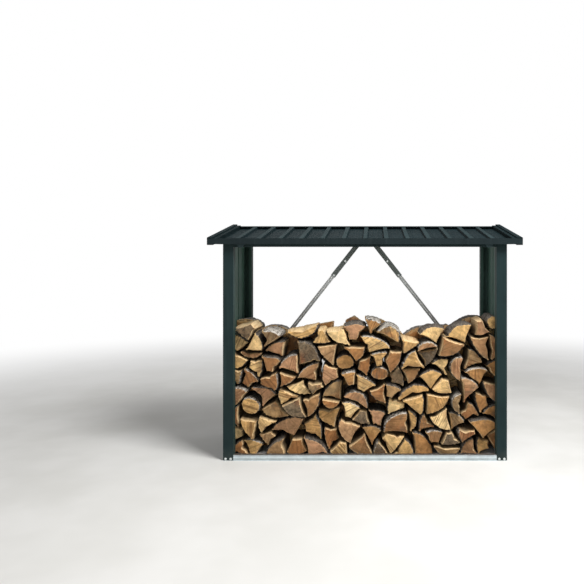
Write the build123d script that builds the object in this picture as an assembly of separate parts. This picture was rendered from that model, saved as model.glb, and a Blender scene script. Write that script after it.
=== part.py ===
from build123d import *
import math
import os
import random

import numpy as np
from numpy.lib.stride_tricks import sliding_window_view

# A free-standing steel log store with a mono-pitch ribbed roof, and the split firewood in it.
# X runs along the front, Y to the back, Z up; the origin is on the ground under the roof's middle.
# All lengths are millimetres.

# Frame: outside width and depth over the four posts
frame_width = 2197.0
frame_depth = 795.0

# Sheet steel
post_sheet = 1.2
wall_sheet = 0.8
roof_sheet = 0.8
trim_sheet = 1.0
base_sheet = 1.2
bend_radius = 2.0

# Clearances: between pieces that seat on each other, and between a log and what it lies on
seat_gap = 0.3
log_gap = 0.4

# Corner posts: open channels with one turned-in lip
post_width = 80.0
post_depth = 75.0
post_lip = 24.0

# Roof: overhangs from the posts, the pan's height at the front edge, and its rise to the rear edge
front_overhang = 47.5
rear_overhang = 47.5
side_overhang = 111.5
front_pan_height = 1683.0
roof_rise = 155.0

# Roof sheets: trapezoid ribs along the slope, and shallow beads between them
sheet_count = 7
ribs_per_sheet = 2
rib_edge_inset = 43.8
rib_height = 20.0
rib_top_width = 32.0
rib_base_width = 42.0
bead_height = 2.0
bead_width = 14.0
bead_spacing = 44.0
sheet_edge_inset = 3.0

# Front fascia
fascia_height = 46.0
fascia_rise = 34.0
fascia_hem_reach = 18.0
fascia_foot_reach = 15.0

# Rake trims over the side edges: heights above the pan and distances in from the outer face
rake_rise = 39.0
rake_drop = 18.0
rake_flange = 48.0
rake_crown_width = 38.0
rake_step_rise = 29.0
rake_step_width = 32.0
rake_foot_width = 16.0

# Rear trim
rear_trim_reach = 52.0
rear_trim_height = 46.0
rear_trim_hem = 12.0

# Beams and rails
front_header_height = 38.0
rear_header_height = 60.0
header_depth = 40.0
header_lip = 12.0
top_rail_height = 38.0
top_rail_width = 30.0
top_rail_lip = 10.0

# Side walls
wall_rib_depth = 15.0
wall_rib_pitch = 160.0
wall_rib_count = 4
wall_rib_crest = 28.0
wall_rib_root = 44.0
wall_edge_lap = 50.0

# Base rails
base_height = 43.0
base_depth = 40.0
base_lip = 10.0
base_toe = 6.0

# Brackets under the fascia, set in from the posts' outer faces
bracket_inset = 142.5
bracket_sheet = 1.5
bracket_top_width = 60.0
bracket_tip_width = 34.0
bracket_hang = 24.0
bracket_tab = 16.0

# Braces: an upper and a lower channel that overlap, with a bead along the lower one; the foot is set in
# from the post's outer face
brace_sheet = 1.2
brace_foot_height = 431.0
brace_foot_inset = 32.0
brace_lower_start = 285.0
brace_upper_length = 490.0
brace_upper_width = 44.0
brace_lower_width = 35.0
brace_flange = 9.0
brace_bead_width = 9.0
brace_bead_depth = 2.5
brace_end_gap = 1.0

# Firewood: two rows of split logs, stacked between the walls
log_length = 314.0
log_length_spread = 80.0
row_gap = 6.0
pile_post_gap = 5.0
pile_height = 1000.0
front_row_seed = 45
rear_row_seed = 5

# Firewood: smallest and largest radius of the trunk that each kind of log is split from
quarter_radius_low = 138.0
quarter_radius_high = 190.0
split_radius_low = 170.0
split_radius_high = 220.0
half_radius_low = 84.0
half_radius_high = 128.0
round_radius_low = 58.0
round_radius_high = 80.0

# Stacking: the step between the places tried, the width of a pit that no log fits, the depth of hollow
# that counts as much as its width again in height, and how far a log may stand above the pile's top or
# be pushed along
stack_step = 2.0
stack_pit = 88.0
stack_hollow = 70.0
stack_excess = 45.0
stack_push = 16.0

# Worked out from the sizes above
half_width = frame_width / 2
half_depth = frame_depth / 2
roof_half_width = half_width + side_overhang
roof_front = -half_depth - front_overhang
roof_back = half_depth + rear_overhang
roof_depth = roof_back - roof_front
slope = roof_rise / roof_depth
tall = 1.5 * (front_pan_height + roof_rise)
rib_pitch = 2 * (roof_half_width - rib_edge_inset) / (sheet_count * ribs_per_sheet)
wall_outer = half_width - post_sheet - seat_gap
wall_inner = wall_outer - wall_rib_depth - wall_sheet
base_top = base_sheet + seat_gap
rake_width = rake_crown_width + rake_step_width + rake_foot_width


def pan_top(y):
    """Height of the roof sheets' upper face, between the ribs, at a distance along Y."""
    return front_pan_height + slope * (y - roof_front)


def pan_under(y):
    """Height of the roof sheets' lower face at a distance along Y."""
    return pan_top(y) - roof_sheet


def mitred(points, distance):
    """An open line moved sideways to its left, with its corners mitred."""
    moved = []
    last = len(points) - 1
    for index, (x, y) in enumerate(points):
        before = points[max(index - 1, 0)]
        after = points[min(index + 1, last)]
        normals = []
        for start, end in ((before, (x, y)), ((x, y), after)):
            run = math.dist(start, end)
            if run > 0:
                normals.append(((start[1] - end[1]) / run, (end[0] - start[0]) / run))
        nx = sum(n[0] for n in normals) / len(normals)
        ny = sum(n[1] for n in normals) / len(normals)
        scale = distance / (nx * nx + ny * ny)
        moved.append((x + nx * scale, y + ny * scale))
    return moved


def folded(points, thickness):
    """The closed outline of a folded sheet whose outer face follows a line, with crisp corners."""
    return make_face(Polyline(points + mitred(points, thickness)[::-1], close=True))


def rolled(points, thickness, radius=bend_radius):
    """A folded section with rounded bends, its outer face along a line and its sheet on the left."""
    middle = mitred(points, thickness / 2)
    return trace(FilletPolyline(*middle, radius=radius), line_width=thickness)


def mirrored(points, side):
    """A line's points on the side of the store given by 1 or -1, kept in an order that folds alike."""
    placed = [(side * x, y) for x, y in points]
    return placed if side > 0 else placed[::-1]


def under_roof(solid):
    """What of an upright solid lies below the roof sheets, cut along the slope with a clearance."""
    low = pan_under(roof_front) - seat_gap
    high = pan_under(roof_back) - seat_gap
    side = Plane.YZ * make_face(Polyline(
        (roof_front, -1.0), (roof_back, -1.0), (roof_back, high), (roof_front, low), close=True))
    room = extrude(side, amount=roof_half_width * 2, both=True)
    return solid & room


def along_slope(section, start, end):
    """Carries a section drawn in X and Z up the roof's slope, from one distance along Y to another."""
    run = end - start
    length = run * math.hypot(1.0, slope)
    placed = Plane(origin=(0, start, pan_top(start)), x_dir=(1, 0, 0), z_dir=(0, -1, 0)) * section
    return extrude(placed, amount=length, dir=(0, 1.0, slope))


def along_front(section, half_length):
    """Carries a section drawn in Y and Z to both sides of the middle of the store."""
    return extrude(Plane.YZ * section, amount=half_length, both=True)


# Corner posts
def post(side, end):
    """A corner post for a side (1 right, -1 left) and an end (1 rear, -1 front), open to the middle."""
    face = end * half_depth
    mouth = end * (half_depth - post_depth)
    outer = half_width
    inner = half_width - post_width
    line = [(outer, mouth), (outer, face), (inner, face), (inner, mouth), (inner + post_lip, mouth)]
    if end < 0:
        line = line[::-1]
    line = [(side * x, y) for x, y in line]
    if side < 0:
        line = line[::-1]
    section = rolled(line, post_sheet)
    column = extrude(Plane.XY.offset(base_top) * section, amount=tall)
    return under_roof(column)


# Side walls
def wall_line():
    """The plan of a ribbed side sheet on the right, ribs outwards, from its front edge to its rear."""
    end = half_depth - post_sheet - bend_radius
    crest = wall_rib_crest / 2
    root = wall_rib_root / 2
    low = wall_inner + wall_sheet
    high = wall_outer
    run = (wall_rib_root - wall_rib_crest) / 2
    points = [(high, -end), (high, -end + wall_edge_lap), (low, -end + wall_edge_lap + run)]
    first = -wall_rib_pitch * (wall_rib_count - 1) / 2
    for index in range(wall_rib_count):
        y = first + index * wall_rib_pitch
        points += [(low, y - root), (high, y - crest), (high, y + crest), (low, y + root)]
    points += [(low, end - wall_edge_lap - run), (high, end - wall_edge_lap), (high, end)]
    return points


def side_wall(side):
    """A ribbed side sheet, from inside its base rail up to the roof."""
    section = folded(mirrored(wall_line(), side), wall_sheet)
    return under_roof(extrude(Plane.XY.offset(base_top) * section, amount=tall))


# Beams and rails under the roof
def front_header():
    """The lipped channel between the front posts, its top cut to the roof's slope."""
    face = -half_depth + post_sheet
    top = pan_under(face) - seat_gap
    bottom = top - front_header_height
    back = face + header_depth
    high = top + slope * header_depth
    line = [(back, high - header_lip), (back, high), (face, top), (face, bottom), (back, bottom),
            (back, bottom + header_lip)]
    return along_front(rolled(line, post_sheet), half_width - post_width - seat_gap)


def rear_header():
    """The lipped channel between the rear posts, open to the inside."""
    face = half_depth
    top = pan_under(face - header_depth) - seat_gap
    bottom = top - rear_header_height
    inside = face - header_depth
    line = [(inside, bottom + header_lip), (inside, bottom), (face, bottom), (face, top), (inside, top),
            (inside, top - header_lip)]
    return along_front(rolled(line, post_sheet), half_width - post_width - seat_gap)


def top_rail(side):
    """The sloping lipped channel along the head of a side wall, from post to post."""
    near = wall_inner - seat_gap
    far = near - top_rail_width
    top = -roof_sheet - seat_gap
    bottom = top - top_rail_height
    line = [(far, top - top_rail_lip), (far, top), (near, top), (near, bottom), (far, bottom),
            (far, bottom + top_rail_lip)]
    section = rolled(mirrored(line[::-1], side), post_sheet)
    end = half_depth - post_sheet - seat_gap
    return along_slope(section, -end, end)


# Base rails
def front_base(end):
    """A base rail under the front (-1) or rear (1) posts: a channel between them on one long strip."""
    face = half_depth
    inside = half_depth - base_depth
    channel_line = [(inside, base_height - base_lip), (inside, base_height), (face, base_height),
                    (face, 0.0), (inside, 0.0)]
    strip_line = [(face + base_toe, 0.0), (inside, 0.0)]
    if end > 0:
        channel = rolled(channel_line[::-1], base_sheet)
        strip = folded(strip_line, -base_sheet)
    else:
        channel = rolled([(-y, z) for y, z in channel_line], base_sheet)
        strip = folded([(-y, z) for y, z in strip_line], base_sheet)
    between_posts = along_front(channel, half_width - post_width - seat_gap)
    return between_posts + along_front(strip, half_width)


def side_base(side):
    """The channel that holds the foot of a side wall, between the posts."""
    outer = half_width
    inner = wall_inner - seat_gap - base_sheet
    line = [(inner, base_height), (inner, 0.0), (outer, 0.0), (outer, base_height)]
    section = rolled(mirrored(line, side), base_sheet, radius=base_sheet)
    length = half_depth - post_depth - seat_gap
    return extrude(Plane.XZ * section, amount=length, both=True)


# Roof sheets
def rib_line(centre, lift):
    """One trapezoid rib, its outline moved outwards by a lift where it lies over another."""
    run = (rib_base_width - rib_top_width) / 2
    flank = math.hypot(rib_height, run)
    crest = rib_top_width / 2 + lift * (flank - run) / rib_height
    root = rib_base_width / 2 + lift * flank / rib_height
    return [(centre - root, 0.0), (centre - crest, rib_height + lift), (centre + crest, rib_height + lift),
            (centre + root, 0.0)]


def bead_line(centre):
    """One shallow bead in a pan, half its width sloping."""
    half = bead_width / 2
    return [(centre - half, 0.0), (centre - half / 2, bead_height), (centre + half / 2, bead_height),
            (centre + half, 0.0)]


def roof_panel(index):
    """A roof sheet: it starts with a rib, and its last rib lies over the next sheet's first one."""
    lift = roof_sheet + seat_gap
    total_ribs = sheet_count * ribs_per_sheet
    first = -rib_pitch * total_ribs / 2 + index * ribs_per_sheet * rib_pitch
    last_sheet = index == sheet_count - 1
    points = []
    for rib in range(ribs_per_sheet):
        centre = first + rib * rib_pitch
        points += rib_line(centre, 0.0)
        middle = centre + rib_pitch / 2
        points += bead_line(middle - bead_spacing / 2)
        points += bead_line(middle + bead_spacing / 2)
    end_rib = first + ribs_per_sheet * rib_pitch
    over = rib_line(end_rib, 0.0 if last_sheet else lift)
    if not last_sheet:
        over[3] = (over[3][0] - lift * (over[3][0] - over[2][0]) / (rib_height + lift), lift)
    points += over
    section = folded(points, -roof_sheet)
    return along_slope(section, roof_front + sheet_edge_inset, roof_back - sheet_edge_inset)


# Trims round the roof
def fascia():
    """The front strip: a full-width face, with a hem on the ribs and a foot under the pans."""
    top = front_pan_height + fascia_rise
    bottom = top - fascia_height
    hem_y = roof_front + fascia_hem_reach
    foot_y = roof_front + fascia_foot_reach
    hem_foot = pan_top(hem_y) + rib_height + roof_sheet + 2 * seat_gap
    foot_top = pan_under(foot_y - trim_sheet) - seat_gap
    line = [(hem_y, hem_foot), (hem_y, top), (roof_front, top), (roof_front, bottom), (foot_y, bottom),
            (foot_y, foot_top)]
    lipped = along_front(folded(line, trim_sheet), roof_half_width - rake_width - seat_gap)
    face = along_front(folded([(roof_front, top), (roof_front, bottom)], trim_sheet), roof_half_width)
    return lipped + face


def rear_trim():
    """The rear strip: a flange on the ribs between the rakes' steps, and a full-width face behind them."""
    inner_y = roof_back - rear_trim_reach
    lift = rib_height + roof_sheet + 2 * seat_gap + trim_sheet
    top = pan_top(roof_back) + lift
    line = [(roof_back - rear_trim_hem, top - rear_trim_height), (roof_back, top - rear_trim_height),
            (roof_back, top), (inner_y, pan_top(inner_y) + lift)]
    reach = roof_half_width - rake_crown_width - rake_step_width - seat_gap
    lipped = along_front(folded(line, trim_sheet), reach)
    face = along_front(folded([line[1], line[2]], trim_sheet), roof_half_width)
    return lipped + face


def rake(side):
    """A stepped trim over a side edge of the roof, from behind the fascia to inside the rear strip."""
    outer = roof_half_width
    crown = outer - rake_crown_width
    step = crown - rake_step_width
    foot = step - rake_foot_width
    lie = seat_gap + trim_sheet
    line = [(foot, lie), (step, lie), (step, rake_step_rise), (crown, rake_step_rise), (crown, rake_rise),
            (outer, rake_rise), (outer, -rake_drop), (outer - rake_flange, -rake_drop)]
    section = folded(mirrored(line, side), -trim_sheet)
    end = trim_sheet + seat_gap
    return along_slope(section, roof_front + end, roof_back - end)


def front_bracket(side):
    """A tapered plate behind the fascia, with an arm back to the header and a tab down its face."""
    front = roof_front + fascia_foot_reach + seat_gap
    back = -half_depth + post_sheet - seat_gap
    fascia_bottom = front_pan_height + fascia_rise - fascia_height
    top = pan_under(front) - seat_gap
    line = [(back, top - bracket_tab), (back, top), (front, top), (front, fascia_bottom - bracket_hang)]
    arm = along_front(folded(line, bracket_sheet), bracket_top_width / 2)
    half_top = bracket_top_width / 2
    half_tip = bracket_tip_width / 2
    outline = Plane.XZ * make_face(Polyline(
        (-half_top, top), (half_top, top), (half_top, fascia_bottom), (half_tip, fascia_bottom - bracket_hang),
        (-half_tip, fascia_bottom - bracket_hang), (-half_top, fascia_bottom), close=True))
    shaped = arm & extrude(outline, amount=roof_depth, both=True)
    return Pos(side * (half_width - bracket_inset), 0, 0) * shaped


# Braces across the open back
def brace_points(side):
    """The apex and the foot of one brace's centre line, on the frame's rear face."""
    apex_height = pan_under(half_depth - header_depth) - seat_gap - rear_header_height / 2
    foot_x = half_width - brace_foot_inset
    return Vector(0, 0, apex_height), Vector(side * foot_x, 0, brace_foot_height)


def brace_channel(side, width, start, end, bead, lift_start, lift_end):
    """A channel with its web to the front, from one distance down the brace's line to another."""
    apex, foot = brace_points(side)
    along = (foot - apex).normalized()
    begin = apex + along * start + Vector(0, half_depth + lift_start, 0)
    finish = apex + along * end + Vector(0, half_depth + lift_end, 0)
    half = width / 2
    line = [(-half, brace_flange), (-half, 0.0)]
    if bead:
        wide = brace_bead_width / 2
        line += [(-wide, 0.0), (-wide / 2, brace_bead_depth), (wide / 2, brace_bead_depth), (wide, 0.0)]
    line += [(half, 0.0), (half, brace_flange)]
    section = folded(line, brace_sheet)
    run = finish - begin
    across = Vector(0, 1, 0).cross(run)
    place = Plane(origin=begin, x_dir=across, z_dir=run)
    if place.y_dir.Y < 0:
        section = mirror(section, Plane.XZ)
    return extrude(place * section, amount=run.length)


def upper_brace(side):
    """The upper length, on the rear header at the middle of the store."""
    channel = brace_channel(side, brace_upper_width, -brace_upper_width, brace_upper_length, False,
                            seat_gap, seat_gap)
    reach = frame_width
    room = Pos(side * (reach / 2 + brace_end_gap / 2), half_depth, 0) * Box(reach, frame_depth, 2 * tall)
    head = pan_under(half_depth) - seat_gap - post_sheet - seat_gap
    below = Pos(0, half_depth, head - tall) * Box(2 * frame_width, frame_depth, 2 * tall)
    return channel & room & below


def lower_brace(side):
    """The lower length, inside the upper one at its head and on the rear post at its foot."""
    apex, foot = brace_points(side)
    nested = 2 * seat_gap + brace_sheet
    total = (foot - apex).length
    return brace_channel(side, brace_lower_width, brace_lower_start, total, True, nested, seat_gap)


# Firewood: each kind's share in a hundred, its least and greatest sweep of bark in radians, and the
# number of edges that its bark is drawn with
LOG_KINDS = {
    "quarter": (50, 0.96, 1.66, 4),
    "split": (33, 0.66, 1.02, 3),
    "half": (14, 2.6, 3.04, 7),
    "round": (3, 2 * math.pi, 2 * math.pi, 10),
}
TRUNK_RADII = {
    "quarter": (quarter_radius_low, quarter_radius_high),
    "split": (split_radius_low, split_radius_high),
    "half": (half_radius_low, half_radius_high),
    "round": (round_radius_low, round_radius_high),
}

# A log's unevenness: shares by which its bark is out of round, its section is squashed and leans, and
# how far from the trunk's middle a split log's inner face starts
BARK_UNEVENNESS = 0.028
LEAST_SQUASH = 0.86
GREATEST_SQUASH = 1.1
SKEW = 0.18
HEART_NEAR = 0.3
HEART_FAR = 0.48


def log_outline(kind, rng):
    """A convex end outline of one log: bark round a sector of a trunk, and its split faces."""
    _, least, greatest, edges = LOG_KINDS[kind]
    radius = rng.uniform(*TRUNK_RADII[kind])
    sweep = rng.uniform(least, greatest)
    angles = np.linspace(-sweep / 2, sweep / 2, edges + 1)
    if kind == "round":
        angles = angles[1:]
    radii = radius * np.array([rng.uniform(1 - BARK_UNEVENNESS, 1 + BARK_UNEVENNESS) for _ in angles])
    points = np.column_stack([radii * np.cos(angles), radii * np.sin(angles)])
    if kind == "quarter":
        points = np.vstack([points, [0.0, 0.0]])
    if kind == "split":
        start = radius * rng.uniform(HEART_NEAR, HEART_FAR)
        heart = start * np.array([math.cos(sweep / 2), math.sin(sweep / 2)])
        points = np.vstack([points, heart, heart * [1, -1]])
    squash = rng.uniform(LEAST_SQUASH, GREATEST_SQUASH)
    points = points @ np.array([[squash, rng.uniform(-SKEW, SKEW)], [0.0, 1.0 / squash]])
    return points - points.mean(axis=0)


def turned(points, angle):
    """The points turned about the origin."""
    c, s = math.cos(angle), math.sin(angle)
    return points @ np.array([[c, s], [-s, c]])


def outline_span(points, xs):
    """The lower and upper heights of a convex outline at each of the given distances across."""
    low = np.full(len(xs), np.inf)
    high = np.full(len(xs), -np.inf)
    for (x0, z0), (x1, z1) in zip(points, np.roll(points, -1, axis=0)):
        if abs(x1 - x0) < 1e-9:
            continue
        inside = (xs >= min(x0, x1)) & (xs <= max(x0, x1))
        z = z0 + (z1 - z0) * (xs[inside] - x0) / (x1 - x0)
        low[inside] = np.minimum(low[inside], z)
        high[inside] = np.maximum(high[inside], z)
    return low, high


def drop_distance(outline, below):
    """How far an outline can fall straight down before it meets another one, or infinity."""
    left = max(outline[:, 0].min(), below[:, 0].min())
    right = min(outline[:, 0].max(), below[:, 0].max())
    if right <= left:
        return math.inf
    xs = np.concatenate([outline[:, 0], below[:, 0], [left, right]])
    xs = np.unique(xs[(xs >= left) & (xs <= right)])
    return float((outline_span(outline, xs)[0] - outline_span(below, xs)[1]).min())


def settled(outline, others, half_room):
    """An outline dropped onto those below it, and in turns pushed left against its neighbour and dropped."""
    for push in [True] * PUSHES + [False]:
        falls = [drop_distance(outline, other) for other in others]
        falls = [fall - log_gap for fall in falls if fall >= 0]
        outline = outline - [0.0, min(falls + [outline[:, 1].min()])]
        if push:
            gaps = [drop_distance(outline[:, ::-1], other[:, ::-1]) for other in others]
            gaps = [gap - log_gap for gap in gaps if gap >= 0]
            shift = min(gaps + [outline[:, 0].min() + half_room])
            outline = outline - [shift if shift < stack_push else 0.0, 0.0]
    return outline


# Stacking: turns that a log is tried in, places kept for each turn and in all, logs in a row that stand
# too high before the pile is full, pushes before a log lies still, and what a log's own height and
# each millimetre above the pile's top count for
TURNS = 18
KEPT_PER_TURN = 3
KEPT_PLACES = 24
MISSES = 14
PUSHES = 5
HEIGHT_WEIGHT = 0.8
EXCESS_WEIGHT = 2.5


# The pile's uneven top: shares of the half width across, and of the pile's height
CREST_PLACES = [-1.0, -0.68, -0.57, -0.3, -0.17, 0.01, 0.15, 0.32, 0.5, 0.74, 0.9, 1.0]
CREST_HEIGHTS = [1.0, 1.02, 0.94, 1.02, 1.0, 1.08, 1.0, 0.91, 1.0, 1.0, 1.09, 1.06]


def pile_top(x):
    """The height that the pile is filled to at a distance across."""
    return pile_height * float(np.interp(x / half_width, CREST_PLACES, CREST_HEIGHTS))


def pit_area(skyline, reach):
    """The area of a skyline's pits that are narrower than a reach in steps, with walls at its ends."""
    walled = np.pad(skyline, reach, constant_values=tall)
    crest = sliding_window_view(walled, reach).max(axis=1)
    closed = sliding_window_view(crest, reach).min(axis=1)[1:-1]
    return float((closed - skyline).sum()) * stack_step


def places(shape, spin, skyline, target):
    """The likeliest places for a log in each turn: (cost, first step, outline, excess, top)."""
    found = []
    for turn in range(TURNS):
        outline = turned(shape, spin + turn * 2 * math.pi / TURNS)
        outline = outline - outline.min(axis=0)
        width = outline[:, 0].max()
        steps = int(math.ceil(width / stack_step)) + 1
        xs = (np.arange(steps) + 0.5) * stack_step
        low, high = outline_span(outline, np.clip(xs, 1e-6, width - 1e-6))
        windows = sliding_window_view(skyline, steps)[::2]
        goals = sliding_window_view(target, steps)[::2]
        fall = (windows - low).max(axis=1)
        hollow = (fall[:, None] + low - windows).sum(axis=1) * stack_step
        excess = np.clip(fall[:, None] + high - goals, 0, None).max(axis=1)
        cost = fall + HEIGHT_WEIGHT * outline[:, 1].max() + hollow / stack_hollow + EXCESS_WEIGHT * excess
        cost = cost.round(6)
        for pick in np.argsort(cost, kind="stable")[:2 * KEPT_PER_TURN:2]:
            found.append((cost[pick], 2 * int(pick), outline, excess[pick], fall[pick] + high))
    return sorted(found, key=lambda place: place[0])[:KEPT_PLACES]


def best_place(found, skyline):
    """Of the places found, the one that leaves the fewest hollows and narrow pits."""
    reach = int(stack_pit / stack_step)
    best = None
    for cost, start, outline, excess, top in found:
        risen = skyline.copy()
        risen[start:start + len(top)] = np.maximum(risen[start:start + len(top)], top)
        cost = round(float(cost) + pit_area(risen, reach) / stack_hollow, 6)
        if best is None or cost < best[0]:
            best = (cost, start, outline, excess, len(top))
    return best[1:]


def stack_row(seed):
    """Drops logs one by one where each fits best, until too many in turn stand too high."""
    rng = random.Random(seed)
    half_room = wall_inner - 2 * seat_gap - base_sheet
    steps = int(2 * half_room / stack_step)
    centres = -half_room + stack_step * (np.arange(steps) + 0.5)
    skyline = np.zeros(steps)
    target = np.array([pile_top(x) for x in centres])
    placed = []
    misses = 0
    shares = [numbers[0] for numbers in LOG_KINDS.values()]
    while misses < MISSES:
        kind = rng.choices(list(LOG_KINDS), shares)[0]
        shape = log_outline(kind, rng)
        found = places(shape, rng.uniform(0, 2 * math.pi / TURNS), skyline, target)
        start, outline, excess, cells = best_place(found, skyline)
        if excess > stack_excess:
            misses += 1
            continue
        outline = settled(outline + [centres[start] - stack_step / 2, tall], placed, half_room)
        placed.append(outline)
        span = slice(start, start + cells)
        inside = np.clip(centres[span], outline[:, 0].min(), outline[:, 0].max())
        skyline[span] = np.maximum(skyline[span], outline_span(outline, inside)[1])
    return placed


def firewood(end, seed):
    """The logs of one row as solids, their inner ends flush; end is -1 for the front row, 1 for the rear."""
    rng = random.Random(seed)
    room = half_depth - post_depth - pile_post_gap - row_gap / 2
    longest = min(log_length, room)
    logs = []
    for outline in stack_row(seed):
        length = longest - rng.uniform(0, log_length_spread)
        near = -row_gap / 2 - length if end < 0 else row_gap / 2
        section = make_face(Polyline([(float(x), float(z)) for x, z in outline], close=True))
        place = Plane(origin=(0, near, 0), x_dir=(1, 0, 0), z_dir=(0, -1, 0))
        logs.append(extrude(place * section, amount=-length))
    return Compound(children=logs)


# Writing the pieces
def save(shape, name):
    """Writes one piece."""
    export_step(shape, f"parts/{name}.step")


def main():
    """Builds every piece of the store and the firewood in it."""
    os.makedirs("parts", exist_ok=True)
    for side, side_name in ((-1, "left"), (1, "right")):
        save(post(side, -1), f"post_front_{side_name}")
        save(post(side, 1), f"post_rear_{side_name}")
        save(side_wall(side), f"side_wall_{side_name}")
        save(top_rail(side), f"top_rail_{side_name}")
        save(side_base(side), f"base_rail_{side_name}")
        save(rake(side), f"rake_{side_name}")
        save(front_bracket(side), f"front_bracket_{side_name}")
        save(upper_brace(side), f"brace_upper_{side_name}")
        save(lower_brace(side), f"brace_lower_{side_name}")
    save(front_base(-1), "base_rail_front")
    save(front_base(1), "base_rail_rear")
    save(front_header(), "header_front")
    save(rear_header(), "header_rear")
    save(fascia(), "fascia_front")
    save(rear_trim(), "trim_rear")
    for index in range(sheet_count):
        save(roof_panel(index), f"roof_sheet_{index + 1}")
    save(firewood(-1, front_row_seed), "firewood_front")
    save(firewood(1, rear_row_seed), "firewood_rear")


main()
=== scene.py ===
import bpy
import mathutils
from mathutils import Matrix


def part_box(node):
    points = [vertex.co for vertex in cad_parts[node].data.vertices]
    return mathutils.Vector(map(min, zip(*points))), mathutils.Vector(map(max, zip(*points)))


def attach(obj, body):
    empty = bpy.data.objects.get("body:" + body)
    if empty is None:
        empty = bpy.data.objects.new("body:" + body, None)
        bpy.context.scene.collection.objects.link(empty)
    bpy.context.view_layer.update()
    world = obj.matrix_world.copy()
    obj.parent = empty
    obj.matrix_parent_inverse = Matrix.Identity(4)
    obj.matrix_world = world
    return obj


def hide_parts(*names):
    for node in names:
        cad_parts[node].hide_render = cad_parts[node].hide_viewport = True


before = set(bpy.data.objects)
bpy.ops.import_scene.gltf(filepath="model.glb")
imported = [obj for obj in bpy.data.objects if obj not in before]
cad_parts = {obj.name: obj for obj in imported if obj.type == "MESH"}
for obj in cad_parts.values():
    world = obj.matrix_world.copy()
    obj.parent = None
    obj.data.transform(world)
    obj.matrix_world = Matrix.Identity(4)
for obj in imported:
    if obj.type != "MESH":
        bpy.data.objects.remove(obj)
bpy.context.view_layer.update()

"""The looks of a steel log store: painted and galvanised sheet, and two rows of split firewood.

Lengths are metres. X runs along the front, Y to the back and Z up, as in the frame.
"""

import logging
import math
from collections.abc import Callable
from dataclasses import dataclass, field, replace
from enum import Enum

import bpy
import numpy as np

LOG = logging.getLogger("log_store")
BODY = "root"
SIDES = ((-1.0, "left"), (1.0, "right"))
ENDS = ((-1.0, "front"), (1.0, "rear"))
WHITE = (1.0, 1.0, 1.0, 1.0)
Colour = tuple[float, float, float, float]
Vector = tuple[float, float, float]
Spot = tuple[Vector, Vector]


# Small helpers for colours and meshes

def srgb(red: int, green: int, blue: int) -> Colour:
    """Turns an 8-bit display colour into the linear colour that a shader takes.

    Args:
        red: Red from 0 to 255.
        green: Green from 0 to 255.
        blue: Blue from 0 to 255.

    Returns:
        The linear red, green and blue, and an alpha of 1.
    """
    def linear(value: int) -> float:
        """One channel, by the display curve."""
        share = value / 255.0
        return share / 12.92 if share <= 0.04045 else ((share + 0.055) / 1.055) ** 2.4
    return (linear(red), linear(green), linear(blue), 1.0)


def eased(value: np.ndarray, start: float, width: float) -> np.ndarray:
    """An eased step from 0 at start to 1 at start + width: 3 t^2 - 2 t^3."""
    share = np.clip((value - start) / width, 0.0, 1.0)
    return share * share * (3 - 2 * share)


def points_of(node: str) -> np.ndarray:
    """Reads the corner positions of a carried-over piece.

    Args:
        node: The node's name.

    Returns:
        One row for each corner.
    """
    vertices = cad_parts[node].data.vertices
    flat = np.empty(len(vertices) * 3)
    vertices.foreach_get("co", flat)
    return flat.reshape(-1, 3)


def strips(starts: np.ndarray, count: int) -> np.ndarray:
    """Joins each ring of points to the next by quads.

    Args:
        starts: The number of each ring's first point.
        count: How many points a ring has.

    Returns:
        The quads' corner numbers.
    """
    step = np.arange(count)
    after = (step + 1) % count
    low, high = starts[:-1, None], starts[1:, None]
    return np.stack([low + step, low + after, high + after, high + step], -1).reshape(-1, 4)


def fan(start: int, count: int, hub: int) -> np.ndarray:
    """Joins a ring of points to a hub by triangles, each with the hub's number repeated.

    Args:
        start: The number of the ring's first point.
        count: How many points the ring has.
        hub: The hub's number.

    Returns:
        The triangles' corner numbers, four to a row.
    """
    step, hubs = np.arange(count), np.full(count, hub)
    return np.stack([start + step, start + (step + 1) % count, hubs, hubs], -1)


# Orders of a face's corners: those that turn a quad or a fan's triangle round, and one that shifts its start
QUAD_BACK, FAN_BACK, QUAD_SHIFTED, AS_IS = [0, 3, 2, 1], [1, 0, 2, 3], [1, 2, 3, 0], [0, 1, 2, 3]


@dataclass
class Shell:
    """A closed surface: points, faces of three or four corners, and a finish number for each face.

    Attributes:
        points: Corner positions, one row each.
        faces: Corner numbers of each face, four to a row; a triangle repeats its last one.
        finish: The material number of each face.
        layers: Named values at each point, of one or three numbers a point.
    """

    points: np.ndarray
    faces: np.ndarray
    finish: np.ndarray
    layers: dict[str, np.ndarray] = field(default_factory=dict)

    def outward(self) -> "Shell":
        """Turns every face round if the shell's signed volume says that they point inwards.

        Returns:
            The shell itself.
        """
        a, b, c, d = (self.points[self.faces[:, k]] for k in range(4))
        volume = sum(np.einsum("ij,ij->i", a, np.cross(*two)).sum() for two in ((b, c), (c, d)))
        if volume < 0:
            self.faces = self.faces[:, QUAD_BACK]
            triangle = self.faces[:, 1] == self.faces[:, 2]
            self.faces[triangle] = self.faces[triangle][:, [0, 1, 3, 3]]
        return self


def join(shells: list[Shell]) -> Shell:
    """Joins shells into one, with the corner numbers of each moved past those before it.

    Args:
        shells: The shells, all with the same layers.

    Returns:
        One shell.
    """
    starts = np.cumsum([0] + [len(shell.points) for shell in shells[:-1]])
    layers = {name: np.concatenate([shell.layers[name] for shell in shells]) for name in shells[0].layers}
    return Shell(np.concatenate([shell.points for shell in shells]),
                 np.concatenate([shell.faces + start for shell, start in zip(shells, starts)]),
                 np.concatenate([shell.finish for shell in shells]), layers)


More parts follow.
